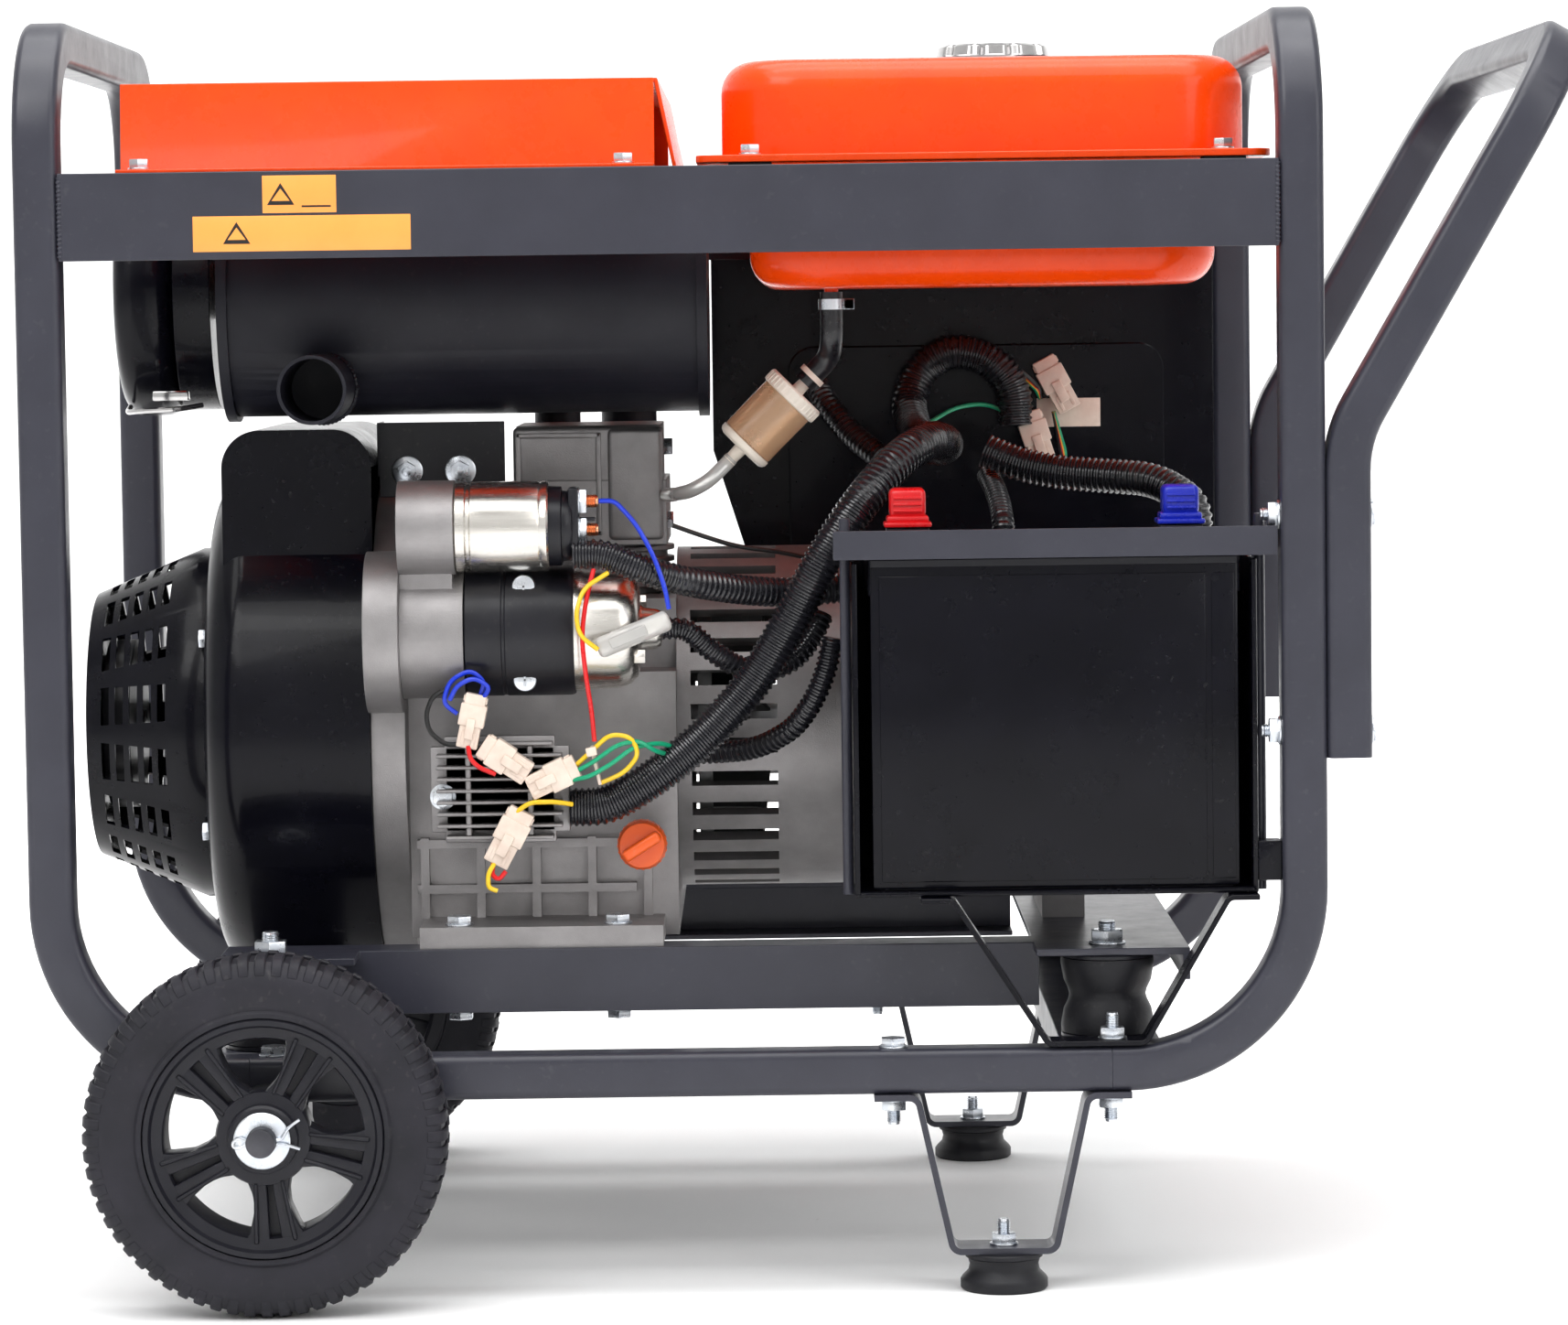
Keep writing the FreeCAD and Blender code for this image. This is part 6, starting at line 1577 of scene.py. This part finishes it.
@dataclass
class Trim:
    """Dipstick knob, rotor fan, recoil screen, cleaner clip, weld beads and axle."""

    crank: tuple[float, float, float] = (0.0, 0.0, 305.0)

    def dipstick(self) -> None:
        """Ridged knob with a grip bar, on its stick."""
        stick = Form().lathe(Axis.Y, (-22, 0, 243), [
            (-140.3, 0.1), (-140.3, 13.4), (-141.2, 14), (-151, 14), (-153.6, 12.6),
            (-154.4, 9), (-154.4, 0.1)], 64)
        stick.block((-34, -162, 239.6), (-10, -152, 246.4), 2.2, 3)
        for k in range(24):
            a = FULL_TURN * k / 24
            stick.drum(Axis.Y, (-151, -142), (-22 + 13.6 * math.cos(a), 0,
                                              243 + 13.6 * math.sin(a)), 0.8, segments=8)
        stick.drum(Axis.Y, (-140.3, -100), (-22, 0, 243), 3, segments=16)
        stick.turned(-32, Axis.Y, (-22, 0, 243))
        stick.piece("dipstick_knob", "dipstick", ORANGE_PLASTIC, ("dipstick",))

    def air(self) -> None:
        """Fan behind the alternator's slots and screen behind the recoil cover's."""
        fan = Form()
        fan.outline([(16, -1.2, 335), (52, -1.2, 335), (46, -1.2, 392), (16, -1.2, 392)],
                    (0, 2.4, 0), 0.5, 1)
        fan.turned(12, Axis.X, self.crank)
        fan.ring_of(Axis.X, self.crank, 16)
        fan.lathe(Axis.X, self.crank, [(10, 15), (10, 88), (14, 89), (18, 88), (18, 32),
                                       (40, 30), (40, 15)], 96)
        fan.piece("rotor_fan", "crank", IRON)
        screen = Form().lathe(Axis.X, self.crank, [
            (-300, 54), (-300, 80), (-299, 82), (-286, 95), (-284.5, 95), (-285, 90),
            (-297, 79), (-297, 54), (-300, 54)], 96)
        screen.piece("recoil_screen", "root", PLASTIC)

    def clip(self) -> None:
        """Spring clip that holds the air cleaner's lid."""
        clip = Form().tube([(-330, 30, 493), (-330, 12, 490), (-322, 0, 491), (-296, -4, 492),
                            (-284, 4, 494)], 1.6, 10, 2)
        clip.block((-312, -12, 497), (-290, -2, 503), 1.2)
        clip.piece("cleaner_clip", "root", CHROME)

    def welds(self) -> None:
        """Beads at the rails' ends and a ring round the muffler's outlet."""
        welds = Form()
        for x in (-334.2, 334.2):
            for y in (-239.2, 239.2):
                welds.tube([(x, y, 580), (x, y, 624)], 1.6, 10, ridge=0.5, pitch=2.4)
        welds.piece("weld_beads", "root", FRAME_PAINT)
        ring = Form().tube([(-202 + 20.2 * math.cos(FULL_TURN * k / 16), -121.5 - 3.2 * math.cos(
            2 * FULL_TURN * k / 16), 505 + 20.2 * math.sin(FULL_TURN * k / 16))
            for k in range(17)], 1.7, 8, ridge=0.4, pitch=2.4)
        ring.piece("outlet_weld", "root", MUFFLER_BLACK)

    def build(self) -> None:
        """Make the trim."""
        self.dipstick()
        self.air()
        self.clip()
        self.welds()
        axle = Form().drum(Axis.Y, (-313.3, 313.3), (-227, 0, 100), 8, segments=48, bevel=0.9)
        axle.piece("axle_bar", "root", AXLE, ("axle",))


# ---------------------------------------------------------------- studio


@dataclass
class Studio:
    """Floor, backdrop, lights and the camera; lens and sensor are in millimetres."""

    camera_place: Vector = field(default_factory=lambda: at(55.6, -3136.5, 550.4))
    focal: float = 120.83
    sensor: float = 36.0
    yaw: float = math.radians(0.0886)
    pitch: float = math.radians(3.9125)
    roll: float = math.radians(-0.7671)
    front_glow: float = 0.12
    back_glow: float = 0.7

    def camera(self) -> None:
        """Place the camera, level with a slight dip and tilt."""
        data = bpy.data.cameras.new("camera")
        data.sensor_fit = "HORIZONTAL"
        data.sensor_width = self.sensor
        data.lens = self.focal
        data.clip_end = 50
        camera = bpy.data.objects.new("camera", data)
        bpy.context.collection.objects.link(camera)
        sy, cy = math.sin(self.yaw), math.cos(self.yaw)
        sp, cp = math.sin(self.pitch), math.cos(self.pitch)
        level = Vector((cy, -sy, 0))
        ahead = Vector((sy * cp, cy * cp, -sp))
        above = Vector((sy * sp, cy * sp, cp))
        right = level * math.cos(self.roll) + above * math.sin(self.roll)
        up = above * math.cos(self.roll) - level * math.sin(self.roll)
        turn = Matrix((right, up, -ahead)).transposed().to_4x4()
        camera.matrix_world = Matrix.Translation(self.camera_place) @ turn
        bpy.context.scene.camera = camera

    def light(self, name: str, place: tuple[float, float, float],
              aim: tuple[float, float, float], size: tuple[float, float],
              power: float) -> None:
        """Hang a rectangular soft light.

        Args:
            name: its name.
            place: where it hangs, in metres.
            aim: the point it faces.
            size: its width and height in metres.
            power: its power in watts.
        """
        data = bpy.data.lights.new(name, "AREA")
        data.shape = "RECTANGLE"
        data.size, data.size_y = size
        data.energy = power
        lamp = bpy.data.objects.new(name, data)
        bpy.context.collection.objects.link(lamp)
        direction = Vector(aim) - Vector(place)
        lamp.matrix_world = (Matrix.Translation(place)
                             @ direction.to_track_quat("-Z", "Y").to_matrix().to_4x4())

    def floor(self) -> None:
        """Pale floor that rises into a backdrop on every side."""
        form = Form()
        reach, rise = 7.0, 2.5
        profile = [(0.0, 0.001), (0.0, reach)]
        profile += [(rise - rise * math.cos(a), reach + rise * math.sin(a))
                    for a in [math.radians(15 * i) for i in range(1, 7)]]
        profile.append((rise + 5.0, reach + rise))
        form.lathe(Axis.Z, Vector((0, 0, -0.0005)), profile, 48)
        data = bpy.data.meshes.new("studio_floor")
        form.mesh.to_mesh(data)
        form.mesh.free()
        data.polygons.foreach_set("use_smooth", [True] * len(data.polygons))
        floor = bpy.data.objects.new("studio_floor", data)
        bpy.context.collection.objects.link(floor)
        pale = bpy.data.materials.new("studio_pale")
        pale.use_nodes = True
        shader = pale.node_tree.nodes["Principled BSDF"]
        shader.inputs["Base Color"].default_value = (0.96, 0.96, 0.96, 1)
        shader.inputs["Roughness"].default_value = 0.7
        data.materials.append(pale)

    def build(self) -> None:
        """Set the whole studio."""
        scene = bpy.context.scene
        scene.view_settings.view_transform = "Standard"
        world = bpy.data.worlds.new("studio")
        scene.world = world
        world.use_nodes = True
        tree = world.node_tree
        backdrop = tree.nodes["Background"]
        backdrop.inputs["Color"].default_value = (1, 1, 1, 1)
        place = tree.nodes.new("ShaderNodeTexCoord")
        split = tree.nodes.new("ShaderNodeSeparateXYZ")
        fade = tree.nodes.new("ShaderNodeMapRange")
        fade.inputs["From Min"].default_value = -0.75
        fade.inputs["From Max"].default_value = 0.35
        fade.inputs["To Min"].default_value = self.front_glow
        fade.inputs["To Max"].default_value = self.back_glow
        tree.links.new(place.outputs["Generated"], split.inputs["Vector"])
        tree.links.new(split.outputs["Y"], fade.inputs["Value"])
        tree.links.new(fade.outputs["Result"], backdrop.inputs["Strength"])
        self.floor()
        self.camera()
        self.light("key", (-1.6, -2.6, 2.9), (0, 0, 0.35), (2.2, 1.6), 38)
        self.light("fill", (2.4, -2.4, 1.6), (0, 0, 0.35), (1.6, 1.6), 18)
        self.light("top", (0.0, 0.4, 3.2), (0, 0, 0.3), (2.6, 2.2), 52)
        self.light("wall", (0.0, 2.2, 3.4), (0, 6.5, 1.0), (5.0, 1.5), 420)
        self.light("floor_glow", (0.0, -1.2, 3.6), (0, 1.2, 0), (5.0, 3.0), 135)


CUSTOM_NODES = {"tyre_near", "tyre_far", "rim_near", "rim_far", "wheel_keepers", "bolts",
                "conduits", "harness_leads", "starter_motor", "starter_solenoid",
                "fuel_filter", "fuel_hoses", "fuel_cap", "boot_red", "boot_blue", "battery",
                "battery_tray", "foot_rubbers", "isolators", "dipstick", "axle", "regulator"}


def main() -> None:
    """Build the studio and dress the whole machine."""
    Studio().build()
    Wheel().build()
    Fasteners().build()
    Harness().build()
    Starter().build()
    FuelLine().build()
    TankCap().build()
    TerminalBoot("boot_red", 130.5, RED_PLASTIC).build()
    TerminalBoot("boot_blue", 283.5, BLUE_PLASTIC).build()
    Battery().build()
    Labels().build()
    EngineFront().build()
    PanelFace().build()
    Rubber().build()
    Trim().build()
    for node in sorted(set(frame["nodes"]) - CUSTOM_NODES):
        skin(node)


if __name__ == "__main__":
    main()
